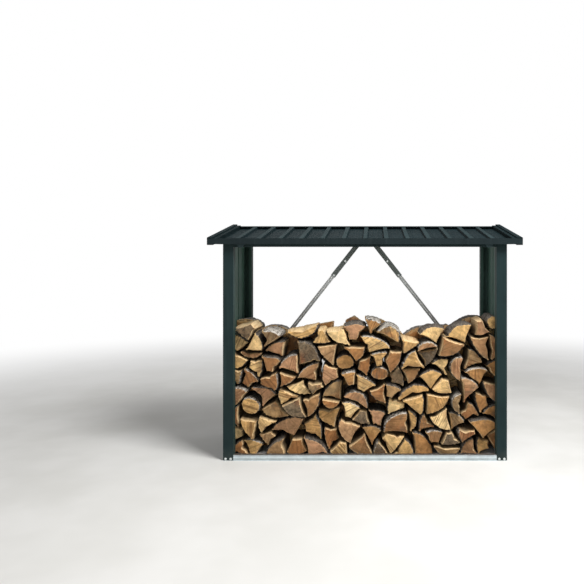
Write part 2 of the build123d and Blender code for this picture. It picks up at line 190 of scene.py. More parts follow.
def make_mesh(name: str, shell: Shell, materials: list[bpy.types.Material]) -> bpy.types.Mesh:
    """Puts a shell into a mesh, with its layers and materials.

    Args:
        name: The mesh's name.
        shell: The surface.
        materials: The materials that the shell's finish numbers count.

    Returns:
        The new mesh.
    """
    quads = shell.faces
    triangle = quads[:, 2] == quads[:, 3]
    keep = np.ones(quads.shape, bool)
    keep[triangle, 3] = False
    corners = quads[keep]
    mesh = bpy.data.meshes.new(name)
    mesh.vertices.add(len(shell.points))
    mesh.vertices.foreach_set("co", np.ascontiguousarray(shell.points, np.float32).ravel())
    mesh.loops.add(len(corners))
    mesh.loops.foreach_set("vertex_index", corners.astype(np.int32))
    mesh.polygons.add(len(quads))
    starts = np.concatenate([[0], np.cumsum(np.where(triangle, 3, 4))[:-1]])
    mesh.polygons.foreach_set("loop_start", starts.astype(np.int32))
    mesh.polygons.foreach_set("material_index", shell.finish.astype(np.int32))
    for label, values in shell.layers.items():
        kind, part = ("FLOAT_VECTOR", "vector") if values.ndim == 2 else ("FLOAT", "value")
        layer = mesh.attributes.new(label, kind, "POINT")
        layer.data.foreach_set(part, np.ascontiguousarray(values, np.float32).ravel())
    for material in materials:
        mesh.materials.append(material)
    mesh.update(calc_edges=True)
    mesh.validate()
    return mesh


def place_object(name: str, data: bpy.types.ID) -> bpy.types.Object:
    """Makes an object of some data and links it to the scene.

    Args:
        name: The object's name.
        data: Its mesh, light or camera.

    Returns:
        The new object.
    """
    made = bpy.data.objects.new(name, data)
    bpy.context.scene.collection.objects.link(made)
    return made


def make_piece(name: str, shell: Shell, materials: list[bpy.types.Material],
               crease: float) -> bpy.types.Object:
    """Makes a smooth-shaded piece at the origin.

    Args:
        name: The object's name.
        shell: The surface.
        materials: The materials that the shell's finish numbers count.
        crease: The angle in degrees above which an edge stays sharp.

    Returns:
        The new object, riding on the store's only body.
    """
    mesh = make_mesh(name, shell, materials)
    mesh.shade_smooth()
    mesh.set_sharp_from_angle(angle=math.radians(crease))
    piece = place_object(name, mesh)
    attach(piece, BODY)
    return piece


def turned_profile(profile: np.ndarray, sides: int, centre: np.ndarray, axis: np.ndarray,
                   spin: float = 0.0) -> Shell:
    """A profile of (radius, height) turned round an axis; both its ends have radius nought.

    A point is centre + height * axis + radius * (cos t * u + sin t * v), for u and v square to the axis.

    Args:
        profile: Rows of radius and height, from one pole to the other.
        sides: How many steps there are in a turn.
        centre: Where height nought lies.
        axis: The direction of height.
        spin: The angle of the first step in radians.

    Returns:
        A closed shell.
    """
    axis = np.asarray(axis, float) / np.linalg.norm(axis)
    helper = np.array([0.0, 0.0, 1.0]) if abs(axis[2]) < 0.9 else np.array([1.0, 0.0, 0.0])
    u = np.cross(helper, axis)
    u /= np.linalg.norm(u)
    v = np.cross(axis, u)
    angle = spin + np.arange(sides) * 2 * math.pi / sides
    ring = np.cos(angle)[:, None] * u + np.sin(angle)[:, None] * v
    inner = profile[1:-1]
    body = centre + inner[:, 1, None, None] * axis + inner[:, 0, None, None] * ring
    poles = centre + profile[[0, -1], 1][:, None] * axis
    starts = np.arange(len(inner) + 1) * sides
    faces = np.concatenate([strips(starts[:-1], sides), fan(0, sides, starts[-1])[:, FAN_BACK],
                            fan(starts[-2], sides, starts[-1] + 1)])
    return Shell(np.concatenate([body.reshape(-1, 3), poles]), faces, np.zeros(len(faces), int)).outward()


# Shader building

class Signal:
    """A value in a shader, on which arithmetic adds maths nodes."""

    def __init__(self, graph: "Graph", socket: bpy.types.NodeSocket) -> None:
        """Keeps the graph and the socket that gives the value."""
        self.graph, self.socket = graph, socket

    def __add__(self, other: object) -> "Signal":
        """The sum."""
        return self.graph.maths("ADD", self, other)

    def __sub__(self, other: object) -> "Signal":
        """The difference."""
        return self.graph.maths("SUBTRACT", self, other)

    def __mul__(self, other: object) -> "Signal":
        """The product."""
        return self.graph.maths("MULTIPLY", self, other)

    def __truediv__(self, other: object) -> "Signal":
        """The quotient."""
        return self.graph.maths("DIVIDE", self, other)

    def clamp(self) -> "Signal":
        """Keeps what the last maths step gives between 0 and 1."""
        self.socket.node.use_clamp = True
        return self


class Graph:
    """A material's or a group's nodes, added and joined by short calls."""

    def __init__(self, tree: bpy.types.NodeTree) -> None:
        """Keeps the tree that the nodes go into."""
        self.tree = tree

    def put(self, kind: str, settings: dict | None = None, **inputs: object) -> bpy.types.Node:
        """Adds a node and fills its sockets.

        Args:
            kind: The node's type, without ShaderNode.
            settings: Properties of the node.
            **inputs: Constants or signals, by socket name with spaces as underscores, or by i and the
                socket's number.

        Returns:
            The new node.
        """
        node = self.tree.nodes.new(f"ShaderNode{kind}")
        for name, value in (settings or {}).items():
            setattr(node, name, value)
        for name, value in inputs.items():
            socket = node.inputs[int(name[1:]) if name[1:].isdigit() else name.replace("_", " ")]
            if isinstance(value, Signal):
                self.tree.links.new(value.socket, socket)
            else:
                socket.default_value = value
        return node

    def get(self, kind: str, settings: dict | None = None, output: int | str = 0, **inputs: object) -> Signal:
        """Adds a node as put does and gives one of its outputs."""
        return Signal(self, self.put(kind, settings, **inputs).outputs[output])

    def group(self, tree: bpy.types.NodeTree, **inputs: object) -> dict[str, Signal]:
        """Adds a shared effect and gives its outputs by name."""
        outputs = self.put("Group", {"node_tree": tree}, **inputs).outputs
        return {output.name: Signal(self, output) for output in outputs}

    def maths(self, operation: str, a: object, b: object = 0.0) -> Signal:
        """One arithmetic step on one or two values."""
        return self.get("Math", {"operation": operation}, i0=a, i1=b)

    def length(self, vector: Signal) -> Signal:
        """A vector's length."""
        return self.get("VectorMath", {"operation": "LENGTH"}, "Value", i0=vector)

    def axes(self, vector: Signal) -> list[Signal]:
        """A vector's three parts."""
        return [Signal(self, part) for part in self.put("SeparateXYZ", i0=vector).outputs]

    def facing(self) -> list[Signal]:
        """The three parts of the surface's normal."""
        return self.axes(self.get("NewGeometry", None, "Normal"))

    def place(self) -> Signal:
        """The place in the piece's own coordinates."""
        return self.get("TexCoord", None, "Object")

    def layer(self, name: str, output: str = "Fac") -> Signal:
        """A named layer of the mesh."""
        return self.get("Attribute", {"attribute_name": name}, output)

    def mix(self, share: object, a: object, b: object, blend: str = "MIX") -> Signal:
        """Two colours mixed by a share."""
        return self.get("Mix", {"data_type": "RGBA", "blend_type": blend}, 2, i0=share, i6=a, i7=b)

    def shaded(self, colour: object, value: Signal) -> Signal:
        """A colour made lighter or darker by a value."""
        return self.mix(1.0, colour, self.get("CombineXYZ", i0=value, i1=value, i2=value), "MULTIPLY")

    def span(self, value: Signal, low: float, high: float, to_low: float = 0.0,
             to_high: float = 1.0) -> Signal:
        """A value mapped from one range onto another, eased and clamped."""
        return self.get("MapRange", {"interpolation_type": "SMOOTHSTEP"}, Value=value, From_Min=low,
                        From_Max=high, To_Min=to_low, To_Max=to_high)

    def ramp(self, value: Signal, stops: list[tuple[float, Colour]]) -> Signal:
        """A colour ramp.

        Args:
            value: Where on the ramp to read.
            stops: Places and colours, from low to high.

        Returns:
            The colour.
        """
        node = self.put("ValToRGB", i0=value)
        elements = node.color_ramp.elements
        elements[0].position, elements[0].color = stops[0]
        elements[1].position, elements[1].color = stops[-1]
        for place, colour in stops[1:-1]:
            elements.new(place).color = colour
        return Signal(self, node.outputs[0])

    def noise(self, place: Signal, scale: float, detail: float = 3.0, rough: float = 0.55,
              warp: float = 0.0) -> Signal:
        """Cloudy noise, about 0.3 to 0.7."""
        return self.get("TexNoise", Vector=place, Scale=scale, Detail=detail, Roughness=rough,
                        Distortion=warp)

    def stretched(self, place: Signal, scale: Vector, turn: Vector = (0.0, 0.0, 0.0)) -> Signal:
        """A place turned and stretched."""
        return self.get("Mapping", Vector=place, Scale=scale, Rotation=turn)

    def cell_edges(self, place: Signal) -> Signal:
        """The distance to the nearest border of irregular cells."""
        return self.get("TexVoronoi", {"feature": "DISTANCE_TO_EDGE"}, Vector=place, Scale=1.0)

    def bump(self, height: Signal, depth: float, strength: float, under: Signal | None = None) -> Signal:
        """A normal bumped by a real depth in metres, on top of another normal where there is one."""
        more = {} if under is None else {"Normal": under}
        return self.get("Bump", Height=height, Distance=depth, Strength=strength, **more)


def cleared(owner: bpy.types.Material | bpy.types.World) -> Graph:
    """Gives a material or world an empty node tree.

    Args:
        owner: The material or world.

    Returns:
        The tree's graph.
    """
    owner.use_nodes = True
    owner.node_tree.nodes.clear()
    return Graph(owner.node_tree)


def make_group(name: str, inputs: dict[str, float | None],
               work_out: Callable[..., dict[str, Signal]]) -> bpy.types.NodeTree:
    """Builds a shader node group whose outputs are single values.

    Args:
        name: The group's name.
        inputs: Default values by socket name, None for a vector.
        work_out: Takes the graph and the inputs in their order, and gives the outputs by name.

    Returns:
        The group.
    """
    tree = bpy.data.node_groups.new(name, "ShaderNodeTree")
    for label, value in inputs.items():
        kind = "NodeSocketVector" if value is None else "NodeSocketFloat"
        socket = tree.interface.new_socket(name=label, in_out="INPUT", socket_type=kind)
        if value is not None:
            socket.default_value = value
    graph = Graph(tree)
    source = tree.nodes.new("NodeGroupInput")
    found = work_out(graph, *(Signal(graph, source.outputs[label]) for label in inputs))
    for label in found:
        tree.interface.new_socket(name=label, in_out="OUTPUT", socket_type="NodeSocketFloat")
    sink = tree.nodes.new("NodeGroupOutput")
    for label, value in found.items():
        tree.links.new(value.socket, sink.inputs[label])
    return tree


class Effects:
    """The shared effects, each a node group that is built once."""

    def __init__(self) -> None:
        """Builds every group."""
        self.weather = make_group("outdoor_weather", {"Place": None, "Streak": 1.0, "Dust": 1.0,
                                                      "Splash Height": 0.16}, self._weather)
        self.fibre = make_group("wood_fibre", {"Grain": None}, self._fibre)
        self.speckle = make_group("paint_skin", {"Place": None}, self._speckle)

    @staticmethod
    def _weather(g: Graph, place: Signal, streak: Signal, dust: Signal, splash: Signal) -> dict[str, Signal]:
        """Rain streaks, dust on upward faces, splashes near the ground, and slow clouds.

        Args:
            g: The group's graph.
            place: The place on the piece.
            streak: How strong the streaks are.
            dust: How strong the dust is.
            splash: How high the splashes reach.

        Returns:
            The four masks by name.
        """
        up = g.facing()[2]
        runs = g.noise(g.stretched(place, (34.0, 34.0, 1.6)), 1.0, 4.0, 0.6)
        ragged = g.axes(place)[2] / splash + g.noise(place, 18.0, 4.0) * 0.9
        return {"Streaks": g.span(runs, 0.50, 0.72) * (g.span(up, 0.75, 0.25) * streak),
                "Dust": g.span(up, 0.2, 0.95) * g.span(g.noise(place, 11.0, 4.0), 0.38, 0.66) * dust,
                "Splash": g.span(ragged, 1.25, 0.35),
                "Cloud": g.noise(place, 3.2, 4.0, 0.6, 0.4)}

    @staticmethod
    def _fibre(g: Graph, grain: Signal) -> dict[str, Signal]:
        """Wood fibre that runs along Y.

        Args:
            g: The group's graph.
            grain: The place in the log.

        Returns:
            Fine and broad streaks, and their height, by name.
        """
        fine = g.noise(g.stretched(grain, (420.0, 9.0, 420.0)), 1.0, 4.0, 0.62, 0.3)
        broad = g.noise(g.stretched(grain, (70.0, 4.0, 70.0)), 1.0, 3.0, 0.55, 0.8)
        return {"Fine": fine, "Broad": broad, "Height": fine * 0.6 + broad * 0.7}

    @staticmethod
    def _speckle(g: Graph, place: Signal) -> dict[str, Signal]:
        """Paint skin: the height of a very fine orange peel, and sparse small scuffs.

        Args:
            g: The group's graph.
            place: The place on the piece.

        Returns:
            The height and the scuffs' mask by name.
        """
        thin = g.span(g.cell_edges(g.stretched(place, (9.0, 9.0, 4.0), (0.4, 0.2, 0.7))), 0.012, 0.0)
        scuffs = thin * g.span(g.noise(place, 6.0), 0.60, 0.74)
        return {"Height": g.noise(place, 620.0, 2.0, 0.5), "Scuffs": scuffs}


@dataclass(frozen=True)
class Finish:
    """A material on a Principled shader, whose inputs each kind of finish works out in surface.

    Attributes:
        name: The material's name.
    """

    name: str

    def build(self, effects: Effects) -> bpy.types.Material:
        """Makes the material.

        Args:
            effects: The shared node groups.

        Returns:
            The new material.
        """
        material = bpy.data.materials.new(self.name)
        g = cleared(material)
        g.put("OutputMaterial", Surface=g.get("BsdfPrincipled", **self.surface(g, effects)))
        return material

    def surface(self, g: Graph, effects: Effects) -> dict[str, object]:
        """The shader's inputs by socket name, as put takes them."""
        raise NotImplementedError


@dataclass(frozen=True)
class PaintedSteel(Finish):
    """Satin powder paint on sheet steel, with rain marks, dust and small scuffs.

    Attributes:
        colour: The paint's linear colour.
        roughness: The paint's roughness.
        dust: How much dust lies on upward faces.
        gloss: The strength of its mirror-like part.
        ripple: How far the sheet is out of flat, in metres.
        inward: How much the back coat shows on faces to the middle across, to the middle in depth, and down.
        back_coat: The lighter colour of the sheet's inner side.
        dust_colour: The colour of the dust.
        crest: Y and Z of a point on the ribs' crests and their slope, where a painted highlight makes the
            paint lighter, or None.
        crest_colour: The paint's lighter colour there, a painted highlight.
    """

    colour: Colour
    roughness: float
    dust: float
    gloss: float
    ripple: float = 0.0009
    inward: Vector = (0.0, 0.0, 0.0)
    back_coat: Colour = srgb(66, 90, 83)
    dust_colour: Colour = srgb(112, 112, 104)
    crest: Vector | None = None
    crest_colour: Colour = srgb(33, 46, 48)

    def surface(self, g: Graph, effects: Effects) -> dict[str, object]:
        """Works out the paint.

        Args:
            g: The material's graph.
            effects: The shared node groups.

        Returns:
            The shader's inputs by socket name.
        """
        place = g.place()
        weather = g.group(effects.weather, Place=place, Streak=0.5, Dust=self.dust)
        skin = g.group(effects.speckle, Place=place)
        coat = self.colour
        if any(self.inward):
            coat = g.mix(self._inner_side(g, place), coat, self.back_coat)
        # Painted highlight: the ribs' crests are coloured lighter than the pans.
        if self.crest is not None:
            coat = g.mix(self._on_crest(g, place), coat, self.crest_colour)
        paint = g.shaded(coat, g.span(weather["Cloud"], 0.3, 0.7, 0.86, 1.14))
        pale = tuple(min(1.0, channel * 1.9 + 0.012) for channel in self.colour[:3]) + (1.0,)
        streaked = g.mix(weather["Streaks"] * 0.35, paint, pale)
        dirt = (weather["Dust"] + weather["Splash"] * 0.3).clamp()
        dusty = g.mix(dirt * 0.4, streaked, self.dust_colour)
        waves = g.bump(g.noise(place, 9.0, 1.0, 0.4), self.ripple, 0.3)
        return {"Base_Color": g.mix(skin["Scuffs"] * 0.25, dusty, pale),
                "Roughness": (dirt * 0.3 + self.roughness).clamp(),
                "Normal": g.bump(skin["Height"], 0.00005, 0.4, waves), "Specular_IOR_Level": self.gloss}

    def _on_crest(self, g: Graph, place: Signal) -> Signal:
        """A mask of what lies within a millimetre or two of the plane of the ribs' crests."""
        (y, z, slope), spot = self.crest, g.axes(place)
        return g.span(spot[2] - (spot[1] * slope + (z - slope * y)), -0.004, -0.001)

    def _inner_side(self, g: Graph, place: Signal) -> Signal:
        """A mask of the faces that look towards the store's middle, or down, by the shares of inward.

        Args:
            g: The material's graph.
            place: The place on the piece.

        Returns:
            The mask.
        """
        normal, spot = g.facing(), g.axes(place)
        across, deep = (normal[k] * g.maths("SIGN", spot[k]) * -self.inward[k] for k in (0, 1))
        most = g.maths("MAXIMUM", g.maths("MAXIMUM", across, deep), normal[2] * -self.inward[2])
        return g.span(most, 0.2, 0.5)


@dataclass(frozen=True)
class ZincSteel(Finish):
    """Hot-dip zinc on steel: spangles, a dull bloom and dark marks.

    Attributes:
        colour: The zinc's linear colour.
        roughness: The mean roughness.
        metallic: How metallic the surface is where the bloom is thin.
        grime: How strongly streaks and splashes show.
        spangle: How much the zinc's crystals differ.
        crumbs: How much bark and dirt lies on upward faces; where it is above nought, the zinc is also darker
            in a thin line 11.5 mm up and above 3 cm.
        web_face: The Y of a brace's front face, whose flats are darkened as painted shade so that the bead
            set back from it reads lighter, or None.
    """

    colour: Colour
    roughness: float
    metallic: float
    grime: float
    spangle: float = 0.12
    crumbs: float = 0.0
    web_face: float | None = None

    def surface(self, g: Graph, effects: Effects) -> dict[str, object]:
        """Works out the zinc.

        Args:
            g: The material's graph.
            effects: The shared node groups.

        Returns:
            The shader's inputs by socket name.
        """
        place = g.place()
        weather = g.group(effects.weather, Place=place, Streak=0.25, Dust=0.3, Splash_Height=0.03)
        tone = g.get("SeparateColor", i0=g.get("TexVoronoi", None, "Color", Vector=place, Scale=120.0))
        cloud = g.noise(place, 22.0, 4.0, 0.6)
        value = tone * self.spangle + g.span(cloud, 0.3, 0.7, 0.84, 1.02)
        # Painted shade: the flats of the brace's front face are darkened against the bead set back from them.
        if self.web_face is not None:
            depth = g.axes(place)[1]
            value = value * g.span(depth, self.web_face + 0.0006, self.web_face + 0.0020, 0.36, 1.0)
        # Darker in a thin line 11.5 mm up and above 3 cm.
        if self.crumbs > 0.0:
            height = g.axes(place)[2]
            line = g.span(g.maths("ABSOLUTE", height - 0.0115), 0.0015, 0.005, 0.5, 1.0)
            value = value * (line * g.span(height, 0.030, 0.034, 1.0, 0.6))
        marks = (weather["Streaks"] + weather["Splash"]).clamp() * self.grime
        stained = g.mix(marks, g.shaded(self.colour, value), srgb(92, 90, 82))
        if self.crumbs > 0.0:
            lying = g.span(g.facing()[2], 0.5, 0.9) * g.span(height, 0.012, 0.024)
            thick = g.span(g.noise(place, 38.0, 4.0, 0.6), 0.30, 0.48, 0.6, 1.0)
            stained = g.mix(lying * (thick * self.crumbs), stained, srgb(62, 48, 34))
        return {"Base_Color": stained, "Roughness": (tone * 0.22 + (self.roughness - 0.08)).clamp(),
                "Normal": g.bump(cloud, 0.004 * self.spangle, 0.4), "Metallic": self.metallic}


WOOD_TONES = [(place, srgb(*tone)) for place, tone in (
    (0.00, (234, 202, 146)), (0.18, (210, 170, 110)), (0.36, (178, 136, 84)), (0.50, (158, 108, 64)),
    (0.64, (148, 112, 74)), (0.76, (186, 142, 106)), (0.86, (160, 130, 88)), (0.94, (146, 120, 86)),
    (1.00, (112, 100, 82)))]
BARK_EDGE = srgb(54, 40, 29)


@dataclass(frozen=True)
class EndGrain(Finish):
    """The sawn end of a log: growth rings, saw marks, radial cracks, a pale rim and stains.

    Attributes:
        ring_gap: The spacing of the growth rings in metres.
        bark_thickness: How wide the bark's dark edge is in metres.
    """

    ring_gap: float = 0.0046
    bark_thickness: float = 0.0052

    def surface(self, g: Graph, effects: Effects) -> dict[str, object]:
        """Works out the sawn wood from the layers grain, saw, tone and rim of the firewood meshes.

        Args:
            g: The material's graph.
            effects: The shared node groups; not used.

        Returns:
            The shader's inputs by socket name.
        """
        grain, saw, rim = g.layer("grain", "Vector"), g.layer("saw", "Vector"), g.layer("rim")
        tone, axes = g.axes(g.layer("tone", "Vector")), g.axes(grain)
        radius = g.length(g.get("CombineXYZ", i0=axes[0], i1=0.0, i2=axes[2]))

        # The wood's own colour: its tone, a darker heart, a lighter or darker side, and blotches
        heart = g.span(radius + g.noise(grain, 12.0, 2.0) * 0.05, 0.125, 0.045)
        heart = heart * g.span(tone[1], 0.3, 0.9, 0.0, 0.6)
        hearted = g.mix(heart, g.ramp(tone[0], WOOD_TONES), srgb(150, 86, 46))
        sided = g.span(g.axes(saw)[0] + g.noise(grain, 14.0) * 0.05, -0.02, 0.08, 0.84, 1.12)
        wood = g.shaded(hearted, sided * g.span(g.noise(grain, 24.0, 5.0, 0.62, 0.7), 0.30, 0.70, 0.62, 1.24))

        # Growth rings: a wave of the distance from the trunk's middle, bent by slow noise
        turns = (radius + g.noise(grain, 15.0) * 0.022) / (self.ring_gap / (2 * math.pi))
        ring = (g.maths("SINE", turns) + 1.0) * 0.5 * g.span(g.noise(grain, 9.0, 2.0), 0.35, 0.6, 0.25, 1.0)
        ringed = g.mix(ring * 0.20, wood, srgb(112, 66, 36))

        # Saw marks
        lines = g.noise(g.stretched(saw, (210.0, 6.0, 7.0)), 1.0, 3.0, 0.6, 0.15)
        bands = g.noise(g.stretched(saw, (64.0, 3.0, 3.0)), 1.0, 2.0, 0.5, 0.2)
        marks = g.span(lines * 0.35 + bands * 0.65, 0.49, 0.59) * g.span(tone[2], 0.2, 0.9, 0.1, 0.75)
        sawn = g.mix(marks, ringed, srgb(98, 66, 40))

        # Drying cracks: thin lines at a few angles round the trunk's middle, broken up by noise
        bent = g.maths("ARCTAN2", axes[2], axes[0]) * 1.9 + g.noise(grain, 30.0, 2.0) * 0.8
        spoke = g.maths("ABSOLUTE", g.maths("FRACT", bent + tone[2]) - 0.5)
        width = g.maths("DIVIDE", 0.0013, g.maths("MAXIMUM", radius, 0.01))
        broken = g.span(g.noise(grain, 12.0, 2.0), 0.48, 0.54)
        crack = g.maths("SUBTRACT", 1.0, spoke / width).clamp() * broken
        cracked = g.mix(crack, sawn, srgb(30, 20, 13))

        # A pale band inside the bark, the bark's edge, stains and mould
        thick = self.bark_thickness
        pale = g.span(rim + g.noise(grain, 38.0) * 0.012, thick * 4.6, thick * 2.4) * 0.42
        edge = g.span(rim + g.noise(grain, 70.0) * 0.004, thick + 0.003, thick + 0.0005)
        edged = g.mix(edge, g.mix(pale, cracked, srgb(224, 194, 146)), BARK_EDGE)
        stains = g.span(g.noise(grain, 10.0, 5.0, 0.65, 0.6), 0.50, 0.66)
        stains = stains * g.span(tone[1], 0.2, 1.0, 0.15, 0.65)
        mould = g.span(g.noise(grain, 46.0, 6.0, 0.75, 0.8), 0.47, 0.60) * (g.span(tone[0], 0.90, 0.97) * 0.7)
        aged = g.mix(mould, g.mix(stains, edged, srgb(92, 82, 66)), srgb(44, 40, 34))

        fuzz = g.noise(grain, 260.0, 3.0, 0.6)
        cut = g.bump(lines * 0.8 + ring * 0.25 - crack * 1.4, 0.0018, 0.85)
        return {"Base_Color": aged, "Roughness": g.span(fuzz, 0.3, 0.7, 0.74, 0.92),
                "Normal": g.bump(fuzz, 0.0008, 0.6, cut), "Specular_IOR_Level": 0.2}


@dataclass(frozen=True)
class SplitFace(Finish):
    """The face where a log was split: pale fibre along its length, darker streaks and splinters."""

    def surface(self, g: Graph, effects: Effects) -> dict[str, object]:
        """Works out the split wood from the layers grain, tone and rim of the firewood meshes, and their
        layer of painted shade between logs.

        Args:
            g: The material's graph.
            effects: The shared node groups.

        Returns:
            The shader's inputs by socket name.
        """
        grain, tone = g.layer("grain", "Vector"), g.axes(g.layer("tone", "Vector"))
        fibre = g.group(effects.fibre, Grain=grain)
        pale = g.mix(0.7, g.ramp(tone[0], WOOD_TONES), srgb(240, 210, 160))
        streaked = g.mix(g.span(fibre["Broad"], 0.46, 0.68, 0.0, 0.5), pale, srgb(160, 106, 62))
        lined = g.mix(g.span(fibre["Fine"], 0.52, 0.72, 0.0, 0.45), streaked, srgb(110, 72, 42))
        edged = g.mix(g.span(g.layer("rim"), 0.0085, 0.0055), lined, BARK_EDGE)
        stains = g.span(g.noise(grain, 8.0, 4.0, 0.6), 0.50, 0.72) * g.span(tone[1], 0.2, 1.0, 0.1, 0.55)
        aged = g.mix(stains, edged, srgb(120, 106, 84))
        # Painted shade between the logs: the colour is darkened towards near-black by the shade layer.
        return {"Base_Color": g.mix(g.layer("painted_shade") * 0.85, aged, srgb(26, 20, 16)),
                "Roughness": g.span(fibre["Fine"], 0.3, 0.7, 0.68, 0.88),
                "Normal": g.bump(fibre["Height"], 0.0026, 0.8), "Specular_IOR_Level": 0.25}


@dataclass(frozen=True)
class Bark(Finish):
    """Bark: furrowed brown-grey, with pale lichen in patches."""

    def surface(self, g: Graph, effects: Effects) -> dict[str, object]:
        """Works out the bark from the layers grain and tone of the firewood meshes, and their layer of
        painted shade between logs.

        Args:
            g: The material's graph.
            effects: The shared node groups; not used.

        Returns:
            The shader's inputs by socket name.
        """
        grain, tone = g.layer("grain", "Vector"), g.axes(g.layer("tone", "Vector"))
        drift = g.get("TexNoise", None, "Color", Vector=grain, Scale=40.0, Detail=2.0)
        warp = g.get("VectorMath", {"operation": "SCALE"}, i0=drift, Scale=0.012)
        bent = g.get("VectorMath", {"operation": "ADD"}, i0=grain, i1=warp)
        furrow = g.span(g.cell_edges(g.stretched(bent, (85.0, 24.0, 85.0))), 0.0, 0.17)
        crust = g.noise(g.stretched(grain, (170.0, 70.0, 170.0)), 1.0, 5.0, 0.65)
        brown = g.ramp(g.noise(grain, 30.0, 4.0), [(0.3, srgb(74, 62, 52)), (0.7, srgb(128, 116, 102))])
        patches = g.span(g.noise(grain, 34.0, 6.0, 0.75, 0.5), 0.43, 0.53)
        patches = patches * g.span(tone[2], 0.35, 0.8, 0.15, 1.0)
        lichen = patches * g.span(g.facing()[2], -0.1, 0.7, 0.25, 1.0)
        grown = g.mix(lichen * 0.92, g.mix(furrow, srgb(32, 26, 22), brown), srgb(214, 207, 196))
        # Painted shade between the logs: the colour is darkened towards near-black by the shade layer.
        return {"Base_Color": g.mix(g.layer("painted_shade") * 0.75, grown, srgb(22, 19, 16)),
                "Roughness": g.span(crust, 0.3, 0.7, 0.82, 0.95),
                "Normal": g.bump(furrow * 0.8 + crust * 0.7, 0.0045, 0.9), "Specular_IOR_Level": 0.2}


# Firewood

